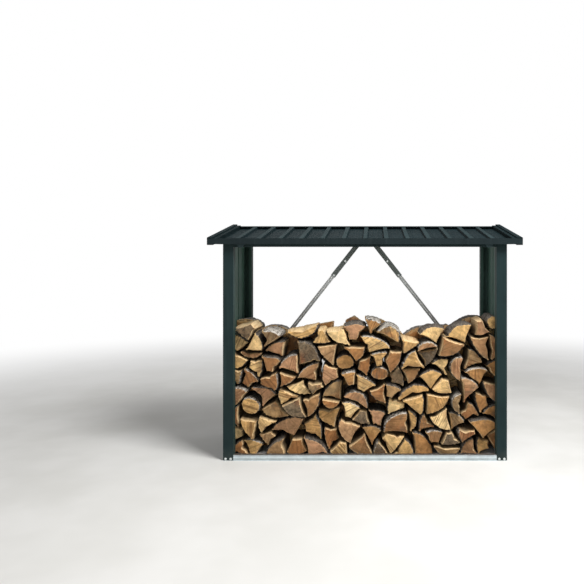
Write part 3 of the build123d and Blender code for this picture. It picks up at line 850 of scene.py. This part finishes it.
@dataclass
class SplitLog:
    """One split log: its end outline in X and Z, and how far it runs along Y.

    Attributes:
        corners: The outline's corners, in order round it.
        near: The front end's Y.
        far: The rear end's Y.
        outer_end: Which end stands in the open: 0 for the near one, 1 for the far one.
        swell: How far the log grows out to its neighbours: nothing at its open end, all at its inner end.
        spacing: The distance between points round the log.
        stations: How many rings of points there are along its middle.
        ease: How far in from an end its four outermost rings lie.
        taper: How far those rings are drawn in.
        shrink: The sizes of the rings on an end's face.
        end_gap: How far an end's face keeps from the plain log's end.
        bark_turn: The greatest turn in degrees at a corner between two stretches of bark.
        hollow_depth: How deep a split face is hollowed at most.
        hollow_edge: The edge length from which on a hollow has its full depth.
        notch_share: Which share of the edges gets a notch.
        notch_depth: The least and the greatest depth of a notch.
        notch_edge: The edge length from which on a notch has its full depth.
        notch_place: The least and the greatest place of a notch, as shares of the edge.
        notch_width: Its least and greatest width, as shares of the edge.
        middle_span: Where the first and the last middle ring lie, as shares of the length.
        middle_taper: How far the middle rings are drawn in.
        wave_depth: The depth of each broad wave of the side.
        ridge_depth: The depth of each fine ridge, on bark and on split faces.
        chip_depth: The scale of the depth of the chips at the ends.
        chip_wear: How much of a chip each of the outermost rings shows.
        clearance: How far the whole side lies in at the open end.
        bark_clearance: How much further in bark lies.
        least_inset: The least that the side lies in, before the swell.
        saw_tilt: The greatest slope of a sawn end.
        saw_rough: How far the points of a sawn end lie out and in.
        grain_shift: The range of the random place of each log along its grain.
    """

    corners: np.ndarray
    near: float
    far: float
    outer_end: float
    swell: float
    spacing: float = 0.0078
    stations: int = 5
    ease: tuple[float, ...] = (0.0, 0.0022, 0.012, 0.03)
    taper: tuple[float, ...] = (0.0084, 0.0072, 0.0056, 0.0034)
    shrink: tuple[float, ...] = (0.9, 0.72, 0.5, 0.26)
    end_gap: float = 0.0005
    bark_turn: float = 50.0
    hollow_depth: float = 0.009
    hollow_edge: float = 0.12
    notch_share: float = 0.4
    notch_depth: tuple[float, float] = (0.005, 0.018)
    notch_edge: float = 0.15
    notch_place: tuple[float, float] = (0.3, 0.7)
    notch_width: tuple[float, float] = (0.08, 0.2)
    middle_span: tuple[float, float] = (0.22, 0.78)
    middle_taper: float = 0.002
    wave_depth: float = 0.0008
    ridge_depth: tuple[float, float] = (0.0009, 0.0004)
    chip_depth: float = 0.0016
    chip_wear: tuple[float, ...] = (1.0, 0.9, 0.4, 0.0)
    clearance: float = 0.0022
    bark_clearance: float = 0.0010
    least_inset: float = 0.0002
    saw_tilt: float = 0.045
    saw_rough: tuple[float, float] = (-0.0004, 0.0008)
    grain_shift: float = 60.0

    def bark_edges(self) -> np.ndarray:
        """Says which edges of the outline carry bark: those with a gently turning corner.

        Returns:
            True for each edge that starts at the corner of the same number.
        """
        after = np.roll(self.corners, -1, axis=0) - self.corners
        before = np.roll(after, 1, axis=0)
        cross = before[:, 0] * after[:, 1] - before[:, 1] * after[:, 0]
        gentle = np.abs(np.arctan2(cross, (before * after).sum(1))) < math.radians(self.bark_turn)
        return gentle | np.roll(gentle, -1)

    def pith(self) -> np.ndarray:
        """Finds the trunk's middle: the point that lies as far from every bark corner, by least squares.

        Returns:
            X and Z of the trunk's middle.
        """
        bark = self.bark_edges()
        points = self.corners[bark | np.roll(bark, 1)]
        if len(points) < 4:
            return self.corners.mean(axis=0)
        rows = np.column_stack([2 * points, np.ones(len(points))])
        return np.linalg.lstsq(rows, (points ** 2).sum(axis=1), rcond=None)[0][:2]

    def outline(self, rng: np.random.Generator) -> tuple[np.ndarray, np.ndarray, np.ndarray]:
        """Lays evenly spaced points round the log, eases its corners and hollows its split faces.

        A split face is drawn in by depth * sin(pi t) and by a notch, exp(-((t - t0) / w)^2), along it.

        Args:
            rng: The source of chance.

        Returns:
            The points, whether each lies on bark, and how far each is drawn in.
        """
        reach = np.roll(self.corners, -1, axis=0) - self.corners
        lengths = np.linalg.norm(reach, axis=1)
        counts = np.maximum(2, np.round(lengths / self.spacing).astype(int))
        edges = len(counts)
        edge = np.repeat(np.arange(edges), counts)
        share = np.concatenate([np.arange(count) / count for count in counts])
        points = self.corners[edge] + share[:, None] * reach[edge]
        on_bark = self.bark_edges()[edge]
        hollow = rng.uniform(0.0, self.hollow_depth, edges) * np.minimum(1.0, lengths / self.hollow_edge)
        notch = np.where(rng.random(edges) < self.notch_share, rng.uniform(*self.notch_depth, edges), 0.0)
        notch *= np.minimum(1.0, lengths / self.notch_edge)
        place, width = rng.uniform(*self.notch_place, edges), rng.uniform(*self.notch_width, edges)
        drawn = hollow[edge] * np.sin(np.pi * share)
        drawn += notch[edge] * np.exp(-((share - place[edge]) / width[edge]) ** 2)
        drawn[on_bark] = 0.0
        soft = sum(np.roll(points, shift, axis=0) / 7 for shift in range(-3, 4))
        tight = (np.roll(points, 1, axis=0) + 2 * points + np.roll(points, -1, axis=0)) / 4
        return np.where(on_bark[:, None], soft, tight), on_bark, drawn

    def inset(self, along: np.ndarray, on_bark: np.ndarray, drawn: np.ndarray,
              rng: np.random.Generator) -> np.ndarray:
        """Works out how far the log's side lies in from its plain outline, less its swell.

        It is the taper and hollow, which fade with the distance from the open end, and sines of the angle
        round the log and the distance along it, and chips at the ends. The swell grows with the root of
        the distance from the open end.

        Args:
            along: The distance of each ring along the log, as a share.
            on_bark: Whether each point of a ring lies on bark.
            drawn: How far each point is drawn in by hollows and notches.
            rng: The source of chance.

        Returns:
            The distance for each ring and point.
        """
        count = len(on_bark)
        turn = np.arange(count) * 2 * math.pi / count
        length = along[:, None]
        fade = 1.0 - np.abs(along - self.outer_end)[:, None]
        taper = np.array(self.taper) * rng.uniform(0.7, 1.5)
        middle = np.full(self.stations, self.middle_taper)
        edge = fade * np.concatenate([taper, middle, taper[::-1]])[:, None]

        def sines(terms: int, low: int, high: int, drift: float) -> np.ndarray:
            """A sum of sines with random numbers of waves round the log, that drift along it."""
            return sum(np.sin(rng.integers(low, high) * turn + rng.uniform(-drift, drift) * length * math.pi
                              + rng.uniform(0, 6.3)) for _ in range(terms))

        waves = sines(5, 2, 6, 2) * self.wave_depth
        ridges = sines(4, 9, max(10, count // 3), 1.2) * np.where(on_bark, *self.ridge_depth)
        chips = rng.gamma(0.7, self.chip_depth, (2, count))
        worn = np.array(self.chip_wear)[:, None]
        ridges[:len(worn)] += worn * chips[0]
        ridges[-len(worn):] += worn[::-1] * chips[1]
        bulge = 1.0 + 0.5 * np.sin(length * math.pi * rng.uniform(0.6, 1.6) + rng.uniform(0, 3))
        inset = (self.clearance + drawn * bulge * 0.8) * (0.2 + 0.8 * fade) + waves + ridges + edge
        inset += np.where(on_bark, self.bark_clearance, 0.0)
        return np.maximum(inset, self.least_inset) - self.swell * np.sqrt(1.0 - fade)

    def shell(self, rng: np.random.Generator) -> Shell:
        """Builds the log's closed surface.

        Its side is a grid: round the outline by one parameter and along the log by the other, drawn in by
        waves of both. Its ends are the outline shrunk in rings to the middle, on slightly tilted planes.

        Args:
            rng: The source of chance.

        Returns:
            The shell, with finish 0 on the ends, 1 on split faces and 2 on bark.
        """
        points, on_bark, drawn = self.outline(rng)
        count, middle = len(points), points.mean(axis=0)
        ahead = np.roll(points, -1, axis=0) - np.roll(points, 1, axis=0)
        normal = np.column_stack([ahead[:, 1], -ahead[:, 0]])
        normal /= np.linalg.norm(normal, axis=1)[:, None]
        if ((points - middle) * normal).sum() < 0:
            normal = -normal
        length = self.far - self.near
        ease = np.array(self.ease) / length
        along = np.concatenate([ease, np.linspace(*self.middle_span, self.stations), 1.0 - ease[::-1]])
        section = points - self.inset(along, on_bark, drawn, rng)[..., None] * normal
        tilt = rng.uniform(-self.saw_tilt, self.saw_tilt, (2, 2))
        lean = np.abs(points - middle).max() * np.abs(tilt).sum(axis=1) + self.end_gap
        ends = [(section - middle) @ tilt[k] + lean[k] for k in (0, 1)]
        y = self.near + ends[0] + along[:, None] * (length - ends[0] - ends[1])
        rows = np.arange(len(along)) * count
        faces = [strips(rows, count)]
        solid = [np.stack([section[..., 0], y, section[..., 1]], -1).reshape(-1, 3)]
        orders = ((QUAD_BACK, FAN_BACK), (QUAD_SHIFTED, AS_IS))
        # The near end is number 0 and the far end 1, so that -k picks the first or the last ring
        for k, (end, way) in enumerate(((self.near, 1.0), (self.far, -1.0))):
            flat = middle + (section[-k] - middle) * np.array(self.shrink)[:, None, None]
            rise = (flat - middle) @ tilt[k] + lean[k]
            rise = rise + rng.uniform(*self.saw_rough, rise.shape)
            rings = sum(map(len, solid)) + np.arange(len(self.shrink)) * count
            solid.append(np.stack([flat[..., 0], end + way * rise, flat[..., 1]], -1).reshape(-1, 3))
            solid.append(np.array([[middle[0], end + way * lean[k], middle[1]]]))
            faces.append(strips(np.append(rows[-k], rings), count)[:, orders[k][0]])
            faces.append(fan(rings[-1], count, rings[-1] + count)[:, orders[k][1]])
        finish = np.zeros(sum(map(len, faces)), int)
        wall = finish[:len(faces[0])].reshape(-1, count)
        wall[1:-1] = np.where(on_bark & np.roll(on_bark, -1), 2, 1)
        shell = Shell(np.concatenate(solid), np.concatenate(faces), finish)
        self.add_layers(shell, points[on_bark], rng)
        return shell.outward()

    def add_layers(self, shell: Shell, bark_points: np.ndarray, rng: np.random.Generator) -> None:
        """Adds the layers that the wood's materials read.

        Args:
            shell: The log's surface.
            bark_points: The outline's points that lie on bark.
            rng: The source of chance.
        """
        xz, y, pith = shell.points[:, [0, 2]], shell.points[:, 1], self.pith()
        shell.layers["grain"] = np.column_stack([
            xz[:, 0] - pith[0], y + rng.uniform(0.0, self.grain_shift), xz[:, 1] - pith[1]])
        angle = rng.uniform(0.0, math.pi)
        across = (xz - xz.mean(axis=0)) @ np.array([[math.cos(angle), -math.sin(angle)],
                                                    [math.sin(angle), math.cos(angle)]])
        shell.layers["saw"] = np.column_stack([
            across[:, 0], y + rng.uniform(0.0, self.grain_shift), across[:, 1]])
        shell.layers["tone"] = np.tile(rng.random(3), (len(xz), 1))
        shell.layers["rim"] = np.ones(len(xz))
        if len(bark_points):
            shell.layers["rim"] = np.linalg.norm(xz[:, None] - bark_points[None], axis=2).min(axis=1)


@dataclass
class FirewoodRow:
    """A row of split logs, made anew over the plain logs of one node.

    Attributes:
        node: The node whose solids give each log's place and outline.
        seed: The seed of this row's chances.
        outer_end: Which end of the logs stands in the open: 0 for the near one, 1 for the far one.
        swell: How far in metres the logs grow out to their neighbours: nothing at the open end, all at the
            inner end.
        split_height: The height in metres at which the row is divided into two pieces.
        column: The width in metres of the columns in which the pile's height is taken.
        shade_under: The depth under the pile's top where the painted shade starts, and over which it grows.
        shade_inside: The distance from the open end where the painted shade starts, and over which it grows.
        crease: The angle in degrees above which the logs' edges stay sharp.
    """

    node: str
    seed: int
    outer_end: float
    swell: float
    split_height: float = 0.5
    column: float = 0.02
    shade_under: tuple[float, float] = (0.02, 0.06)
    shade_inside: tuple[float, float] = (0.010, 0.042)
    crease: float = 40.0

    def logs(self) -> list[SplitLog]:
        """Reads the plain logs: a merged copy's connected parts, and the corners of their front ends.

        Returns:
            One split log for each.
        """
        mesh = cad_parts[self.node].data
        mesh.calc_loop_triangles()
        corners = np.empty(len(mesh.loop_triangles) * 3, np.int32)
        mesh.loop_triangles.foreach_get("vertices", corners)
        merged, number = np.unique(np.round(points_of(self.node), 5), axis=0, return_inverse=True)
        triangles = number.ravel()[corners.reshape(-1, 3)]
        label, before = np.arange(len(merged)), None
        while before is None or (label != before).any():
            before = label.copy()
            lowest = label[triangles].min(axis=1)
            for k in range(3):
                np.minimum.at(label, triangles[:, k], lowest)
        found = []
        for one in np.unique(label):
            points = merged[label == one]
            near, far = points[:, 1].min(), points[:, 1].max()
            end = points[points[:, 1] < near + 1e-4][:, [0, 2]]
            spoke = end - end.mean(axis=0)
            order = np.argsort(np.arctan2(spoke[:, 1], spoke[:, 0]))
            found.append(SplitLog(end[order], near, far, self.outer_end, self.swell))
        return found

    def add_painted_shade(self, shells: list[Shell]) -> None:
        """Adds painted shade to each point, a darkening that stands in for the shade between logs: high
        between logs, nought at open ends and on the pile's top.

        It is the product of two eased steps: of the depth under the pile's top in the point's column, and of
        the distance from the log's open end.

        Args:
            shells: The row's logs, which each get the layer of painted shade.
        """
        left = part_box(self.node)[0].x
        columns = [((shell.points[:, 0] - left) / self.column).astype(int) for shell in shells]
        top = np.zeros(max(column.max() for column in columns) + 1)
        for shell, column in zip(shells, columns):
            np.maximum.at(top, column, shell.points[:, 2])
        for shell, column in zip(shells, columns):
            y = shell.points[:, 1]
            inside = (y - y.min()) if self.outer_end < 0.5 else (y.max() - y)
            under = top[column] - shell.points[:, 2]
            # Painted shade: this layer darkens the wood where the logs shade each other.
            shell.layers["painted_shade"] = eased(under, *self.shade_under) * eased(inside, *self.shade_inside)

    def build(self, materials: list[bpy.types.Material]) -> None:
        """Makes the row as a lower and an upper piece.

        Args:
            materials: End grain, split face and bark.
        """
        rng = np.random.default_rng(self.seed)
        logs = self.logs()
        shells = [log.shell(rng) for log in logs]
        self.add_painted_shade(shells)
        high = np.array([log.corners[:, 1].mean() >= self.split_height for log in logs])
        for part, chosen in (("lower", ~high), ("upper", high)):
            shell = join([shells[k] for k in np.flatnonzero(chosen)])
            shell.points = np.clip(shell.points, *(np.array(corner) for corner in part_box(self.node)))
            piece = make_piece(f"{self.node}_{part}", shell, materials, self.crease)
            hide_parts(self.node)
            LOG.info("%s: %d logs, %d faces", piece.name, int(chosen.sum()), len(shell.faces))


# Fixings

class Head(Enum):
    """The kinds of fixing that show."""

    HEX_BOLT = "hex bolt with a washer"
    ROOF_SCREW = "small hex screw with a sealing washer"
    PAN_SCREW = "pan-head screw"


@dataclass
class Fixings:
    """Bolts and screws, built as one joined piece for each finish.

    Attributes:
        bolt_size: Across-corners radius of a hex bolt's head.
        bolt_height: How far that head stands up.
        washer_radius: Radius of its washer.
        washer_height: Its washer's thickness.
        screw_radius: Radius of a small screw's head.
        screw_height: How far that head stands up.
        roof_scale: A roof screw's size as a share of a bolt's.
        crease: The angle in degrees above which the heads' edges stay sharp.
    """

    bolt_size: float = 0.0068
    bolt_height: float = 0.0055
    washer_radius: float = 0.0095
    washer_height: float = 0.0014
    screw_radius: float = 0.0042
    screw_height: float = 0.0030
    roof_scale: float = 0.62
    crease: float = 30.0

    def head(self, kind: Head, place: Vector, axis: Vector, spin: float) -> list[Shell]:
        """Makes one fixing standing on a surface.

        Args:
            kind: Which fixing.
            place: Where its axis meets the surface.
            axis: The surface's outward direction.
            spin: How far the head is turned.

        Returns:
            Its shells.
        """
        centre, axis = np.array(place), np.array(axis)
        if kind is Head.PAN_SCREW:
            angles = np.linspace(0.0, math.pi / 2, 5)
            dome = np.column_stack([self.screw_radius * np.cos(angles), self.screw_height * np.sin(angles)])
            dome[-1, 0] = 0.0
            return [turned_profile(np.vstack([[0.0, -0.0002], dome]), 14, centre, axis)]
        scale = 1.0 if kind is Head.HEX_BOLT else self.roof_scale
        wide, thick = self.washer_radius * scale, self.washer_height * scale
        size, tall = self.bolt_size * scale, self.bolt_height * scale
        washer = np.array([[0.0, -0.0001], [wide, -0.0001], [wide, thick * 0.7], [wide * 0.93, thick],
                           [0.0, thick]])
        hexagon = np.array([[0.0, thick], [size, thick], [size, thick + tall * 0.78],
                            [size * 0.86, thick + tall], [0.0, thick + tall * 1.02]])
        return [turned_profile(washer, 18, centre, axis), turned_profile(hexagon, 6, centre, axis, spin)]

    def build(self, name: str, kind: Head, spots: list[Spot], slot: str,
              material: bpy.types.Material) -> None:
        """Makes all the fixings of one kind as one piece.

        Args:
            name: The piece's name.
            kind: Which fixing.
            spots: Where each stands and which way it points.
            slot: The name of a material slot; not used.
            material: The finish.
        """
        rng = np.random.default_rng(len(spots))
        shells = []
        for place, axis in spots:
            shells += self.head(kind, place, axis, float(rng.uniform(0, math.pi / 3)))
        make_piece(name, join(shells), [material], self.crease)
        LOG.info("%s: %d fixings", name, len(spots))


# Steelwork: which finish goes on which carried-over piece

def roof_crest() -> Vector:
    """Finds the line of a roof rib's crest, from the highest points at the front and rear ends of a sheet.

    Returns:
        Y and Z of the crest at the front, and how far it rises for each metre to the rear.
    """
    points = points_of("roof_sheet_7")
    front, rear = (points[np.abs(points[:, 1] - y) < 0.002] for y in (points[:, 1].min(), points[:, 1].max()))
    front, rear = (end[end[:, 2].argmax()] for end in (front, rear))
    return float(front[1]), float(front[2]), float((rear[2] - front[2]) / (rear[1] - front[1]))


@dataclass
class Steelwork:
    """The store's steel pieces, which keep their shapes and get their finishes here.

    Attributes:
        effects: The shared node groups.
        roof: The finish of the roof's sheets and its rear trim.
        walls: The finish of the side walls.
        trims: The finish of the fascia.
        rakes: The finish of the rakes.
        brackets: The finish of the tabs under the fascia: the fascia's paint made lighter as painted light,
            against the shade under the fascia.
        posts: The finish of the posts, headers and top rails.
        rails: The finish of the base rails.
        braces: The finish of the braces' lower lengths.
        upper_braces: The finish of their upper lengths: the braces' zinc made darker as painted shade under
            the header.
    """

    effects: Effects
    roof: PaintedSteel = PaintedSteel("roof_sheet_paint", srgb(19, 31, 34), 0.7, 0.05, 0.02, 0.0002,
                                      (0.0, 0.0, 1.0))
    walls: PaintedSteel = PaintedSteel("side_wall_paint", srgb(27, 41, 42), 0.5, 0.05, 0.15, 0.0009,
                                       (1.0, 0.0, 0.0), srgb(76, 106, 96))
    trims: PaintedSteel = PaintedSteel("trim_paint", srgb(26, 35, 37), 0.55, 0.05, 0.08)
    rakes: PaintedSteel = PaintedSteel("rake_paint", srgb(19, 30, 32), 0.72, 0.0, 0.012, 0.0002)
    # Painted light: the tabs are coloured lighter than the fascia's paint, to stand out from the shade under
    # the fascia.
    brackets: PaintedSteel = PaintedSteel("bracket_paint_painted_light", srgb(46, 60, 62), 0.55, 0.05, 0.08)
    posts: PaintedSteel = PaintedSteel("post_paint", srgb(27, 42, 43), 0.55, 0.05, 0.1, 0.0009,
                                       (0.3, 1.0, 0.0))
    rails: ZincSteel = ZincSteel("galvanised_rail", srgb(205, 216, 219), 0.38, 0.3, 0.2, 0.06, 0.9)
    braces: ZincSteel = ZincSteel("galvanised_brace", srgb(244, 248, 248), 0.45, 0.2, 0.04, 0.02)
    # Painted shade: the upper lengths' zinc is darker than the lower lengths', for the shade under the
    # header.
    upper_braces: ZincSteel = ZincSteel("galvanised_upper_brace_painted_shade", srgb(104, 114, 110), 0.45, 0.1, 0.1, 0.02)

    def dress(self) -> dict[str, bpy.types.Material]:
        """Puts the finishes on the carried-over pieces.

        Returns:
            The materials by the start of the node names that they go on.
        """
        # The roof's finish gets the painted highlight on its ribs' crests.
        roof = replace(self.roof, crest=roof_crest())
        braces = replace(self.braces, web_face=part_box("brace_lower_left")[0].y)
        materials = {}
        for finish, starts in (
                (roof, ("roof_sheet", "trim_rear")), (self.walls, ("side_wall",)), (self.trims, ("fascia",)),
                (self.rakes, ("rake",)), (self.brackets, ("front_bracket",)),
                (self.posts, ("post", "header", "top_rail")), (self.rails, ("base_rail",)),
                (braces, ("brace_lower",)), (self.upper_braces, ("brace_upper",))):
            materials.update(dict.fromkeys(starts, finish.build(self.effects)))
        for name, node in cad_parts.items():
            for start, material in materials.items():
                if name.startswith(start):
                    node.data.materials.clear()
                    node.data.materials.append(material)
                    LOG.info("%s: %s", name, material.name)
        return materials


@dataclass
class FixingPlan:
    """Where the fixings stand and which way they point, worked out from the boxes of what they hold.

    Attributes:
        brace_overlap: Distances down a brace at which its two lengths are bolted together.
        brace_end: How far the bolts at a brace's ends lie from them.
        overlap_stack: How many sheet thicknesses lie under the rear heads at the overlap.
        foot_height: How high the bolts at the foot of a post are.
        foot_places: Where they are across the post, as shares of its width.
        screw_rise: The step between the screws up a post.
        screw_clear: How far under a post's top the last one stays.
        web: The sheet thickness of a brace.
        rib_half_width: How far in from the sheets' edge the outermost rib's crest lies.
        rib_screws: How many screws there are in a row across the roof.
        roof_screw_inset: How far behind a post's face the roof's screws stand.
    """

    brace_overlap: tuple[float, float] = (0.305, 0.468)
    brace_end: float = 0.024
    overlap_stack: float = 2.5
    foot_height: float = 0.012
    foot_places: tuple[float, float] = (0.25, 0.75)
    screw_rise: float = 0.27
    screw_clear: float = 0.12
    web: float = 0.0012
    rib_half_width: float = 0.021
    rib_screws: int = 15
    roof_screw_inset: float = 0.02

    def braces(self) -> list[Spot]:
        """Bolts along both braces: heads on both sides at the overlap, and to the rear at the ends.

        Returns:
            Their spots.
        """
        spots = []
        front_way, rear_way = (0.0, -1.0, 0.0), (0.0, 1.0, 0.0)
        back = np.array([0.0, self.web, 0.0])
        for side, word in SIDES:
            low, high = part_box(f"brace_lower_{word}")
            inner, outer = sorted((abs(low.x), abs(high.x)))
            angle = math.atan2(high.z - low.z, outer - inner)
            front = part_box(f"brace_upper_{word}")[0].y
            top = np.array([0.0, front, (high.z + low.z) / 2 + (inner + outer) / 2 * math.tan(angle)])
            down = np.array([side * math.cos(angle), 0.0, -math.sin(angle)])
            for along in self.brace_overlap:
                spots.append((tuple(top + down * along), front_way))
                spots.append((tuple(top + down * along + back * self.overlap_stack), rear_way))
            for along in (self.brace_end, outer / math.cos(angle) - self.brace_end):
                spots.append((tuple(top + down * along + back), rear_way))
        return spots

    def feet(self) -> list[Spot]:
        """Two bolts at the foot of each post's outer face.

        Returns:
            Their spots.
        """
        spots = []
        for _, word in SIDES:
            for way, end in ENDS:
                low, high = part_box(f"post_{end}_{word}")
                face = low.y if way < 0 else high.y
                spots += [((low.x + (high.x - low.x) * share, face, self.foot_height), (0.0, way, 0.0))
                          for share in self.foot_places]
        return spots

    def wall_screws(self) -> list[Spot]:
        """Screws up the outer leg of each post, which hold the side sheets.

        Returns:
            Their spots.
        """
        spots = []
        for side, word in SIDES:
            for _, end in ENDS:
                low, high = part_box(f"post_{end}_{word}")
                face = low.x if side < 0 else high.x
                heights = np.arange(self.screw_rise / 2, high.z - self.screw_clear, self.screw_rise)
                spots += [((face, (low.y + high.y) / 2, float(z)), (side, 0.0, 0.0)) for z in heights]
        return spots

    def roof_screws(self) -> list[Spot]:
        """Screws through every rib's crest, over the front and the rear header.

        Returns:
            Their spots.
        """
        left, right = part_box("roof_sheet_1")[0].x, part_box("roof_sheet_7")[1].x
        crest_y, crest_z, slope = roof_crest()
        up = (0.0, -math.sin(math.atan(slope)), math.cos(math.atan(slope)))
        ribs = np.linspace(left + self.rib_half_width, right - self.rib_half_width, self.rib_screws)
        front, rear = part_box("post_front_left")[0].y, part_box("post_rear_left")[1].y
        return [((float(x), float(y), float(crest_z + slope * (y - crest_y))), up)
                for y in (front + self.roof_screw_inset, rear - self.roof_screw_inset) for x in ribs]


# Stage

@dataclass(frozen=True)
class Lamp:
    """A square area light.

    Attributes:
        name: The light's name.
        place: Where it stands.
        aim: What it points at.
        size: The length of its side.
        watts: Its power.
    """

    name: str
    place: Vector
    aim: Vector
    size: float
    watts: float

    def build(self) -> None:
        """Puts the light into the scene, turned so that it shines from its place to its aim."""
        data = bpy.data.lights.new(self.name, "AREA")
        data.size, data.energy = self.size, self.watts
        lamp = place_object(self.name, data)
        lamp.location = self.place
        x, y, z = np.array(self.aim) - np.array(self.place)
        lamp.rotation_euler = (math.atan2(math.hypot(x, y), -z), 0.0, math.atan2(-x, y))


@dataclass
class Studio:
    """A pale floor, plain soft light and the camera at the photograph's viewpoint.

    Attributes:
        frame_px: The photograph's side in pixels.
        focal_px: The focal length in pixels.
        vanish_px: Where the lines along Y meet, in pixels from the left and the top.
        eye: The camera's place.
        sensor_mm: The side of the camera's sensor.
        view_limit: How far the camera sees.
        floor_radii: The radii of the floor's innermost and outermost ring.
        floor_rings: How many rings of points the floor has.
        floor_steps: How many points a ring has.
        white_from: Between which distances from the middle the floor fades to white.
        sky: The sky's strength as a light.
        lamps: The broad soft lights before and above the store, and a weak one behind.
    """

    frame_px: float = 584.0
    focal_px: float = 623.1
    vanish_px: tuple[float, float] = (374.6, 262.0)
    eye: Vector = (0.0744, -5.215, 1.535)
    sensor_mm: float = 36.0
    view_limit: float = 200.0
    floor_radii: tuple[float, float] = (2.0, 60.0)
    floor_rings: int = 14
    floor_steps: int = 64
    white_from: tuple[float, float] = (2.2, 9.0)
    sky: float = 0.33
    lamps: tuple[Lamp, ...] = (
        Lamp("key", (1.9, -2.5, 5.1), (0.0, 0.0, 0.6), 2.0, 370.0),
        Lamp("fill", (-1.2, -6.2, 1.7), (0.0, 0.0, 1.0), 3.0, 62.0),
        Lamp("back", (-1.5, 4.6, 3.8), (0.0, 0.0, 0.8), 3.0, 30.0))

    def camera(self) -> None:
        """Sets a level camera along Y whose frame is shifted to the photograph's."""
        data = bpy.data.cameras.new("view")
        data.sensor_width = self.sensor_mm
        data.lens = self.sensor_mm * self.focal_px / self.frame_px
        data.shift_x = (self.frame_px / 2 - self.vanish_px[0]) / self.frame_px
        data.shift_y = (self.vanish_px[1] - self.frame_px / 2) / self.frame_px
        data.clip_end = self.view_limit
        view = place_object("view", data)
        view.location = self.eye
        view.rotation_euler = (math.radians(90.0), 0.0, 0.0)
        bpy.context.scene.camera = view

    def floor(self) -> None:
        """Lays a wide pale floor that fades to white far from the store."""
        radii = np.geomspace(*self.floor_radii, self.floor_rings)[:, None]
        turn = np.linspace(0.0, 2 * math.pi, self.floor_steps + 1)[:-1]
        rings = np.stack([radii * np.cos(turn), radii * np.sin(turn), radii * 0.0 * turn], -1)
        starts = np.arange(self.floor_rings) * self.floor_steps
        faces = np.concatenate([strips(starts, self.floor_steps)[:, QUAD_BACK],
                                fan(0, self.floor_steps, self.floor_rings * self.floor_steps)])
        points = np.concatenate([rings.reshape(-1, 3), np.zeros((1, 3))])
        material = bpy.data.materials.new("pale_floor")
        g = cleared(material)
        place = g.place()
        tint = g.mix(g.span(g.noise(place, 1.2), 0.3, 0.7), srgb(214, 213, 209), srgb(224, 223, 220))
        share = g.span(g.length(place), *self.white_from) * g.get("LightPath", None, "Is Camera Ray")
        g.put("OutputMaterial", Surface=g.get("MixShader", i0=share, i1=g.get("BsdfDiffuse", Color=tint),
                                              i2=g.get("Emission", Color=WHITE, Strength=1.0)))
        mesh = make_mesh("floor", Shell(points, faces, np.zeros(len(faces), int)), [material])
        place_object("floor", mesh)

    def light(self) -> None:
        """Adds the lamps and an even sky, which looks white and lights less than it looks."""
        for lamp in self.lamps:
            lamp.build()
        world = bpy.data.worlds.new("sky")
        bpy.context.scene.world = world
        g = cleared(world)
        camera, glossy, clear = (g.get("LightPath", None, f"Is {kind} Ray")
                                 for kind in ("Camera", "Glossy", "Transmission"))
        strength = (camera + (glossy + clear)).clamp() * (1.0 - self.sky) + self.sky
        g.put("OutputWorld", Surface=g.get("Background", Color=WHITE, Strength=strength))

    def build(self) -> None:
        """Makes the whole stage."""
        self.camera()
        self.floor()
        self.light()
        bpy.context.scene.view_settings.view_transform = "Standard"


def main() -> None:
    """Builds the finishes, the firewood, the fixings and the stage."""
    logging.basicConfig(level=logging.INFO, format="%(name)s: %(message)s")
    effects = Effects()
    painted = Steelwork(effects).dress()
    wood = [finish.build(effects) for finish in (
        EndGrain("firewood_end_grain"), SplitFace("firewood_split_face"), Bark("firewood_bark"))]
    FirewoodRow("firewood_front", 5, 0.0, 0.004).build(wood)
    FirewoodRow("firewood_rear", 8, 1.0, 0.014).build(wood)
    zinc = ZincSteel("zinc_fixing", srgb(220, 224, 222), 0.35, 0.5, 0.1).build(effects)
    plan, fixings = FixingPlan(), Fixings()
    fixings.build("brace_bolts", Head.HEX_BOLT, plan.braces(), "galvanised", zinc)
    fixings.build("foot_bolts", Head.HEX_BOLT, plan.feet(), "galvanised", zinc)
    fixings.build("wall_screws", Head.PAN_SCREW, plan.wall_screws(), "frame_paint", painted["post"])
    fixings.build("roof_screws", Head.ROOF_SCREW, plan.roof_screws(), "roof_paint", painted["roof_sheet"])
    Studio().build()


if __name__ == "__main__":
    main()
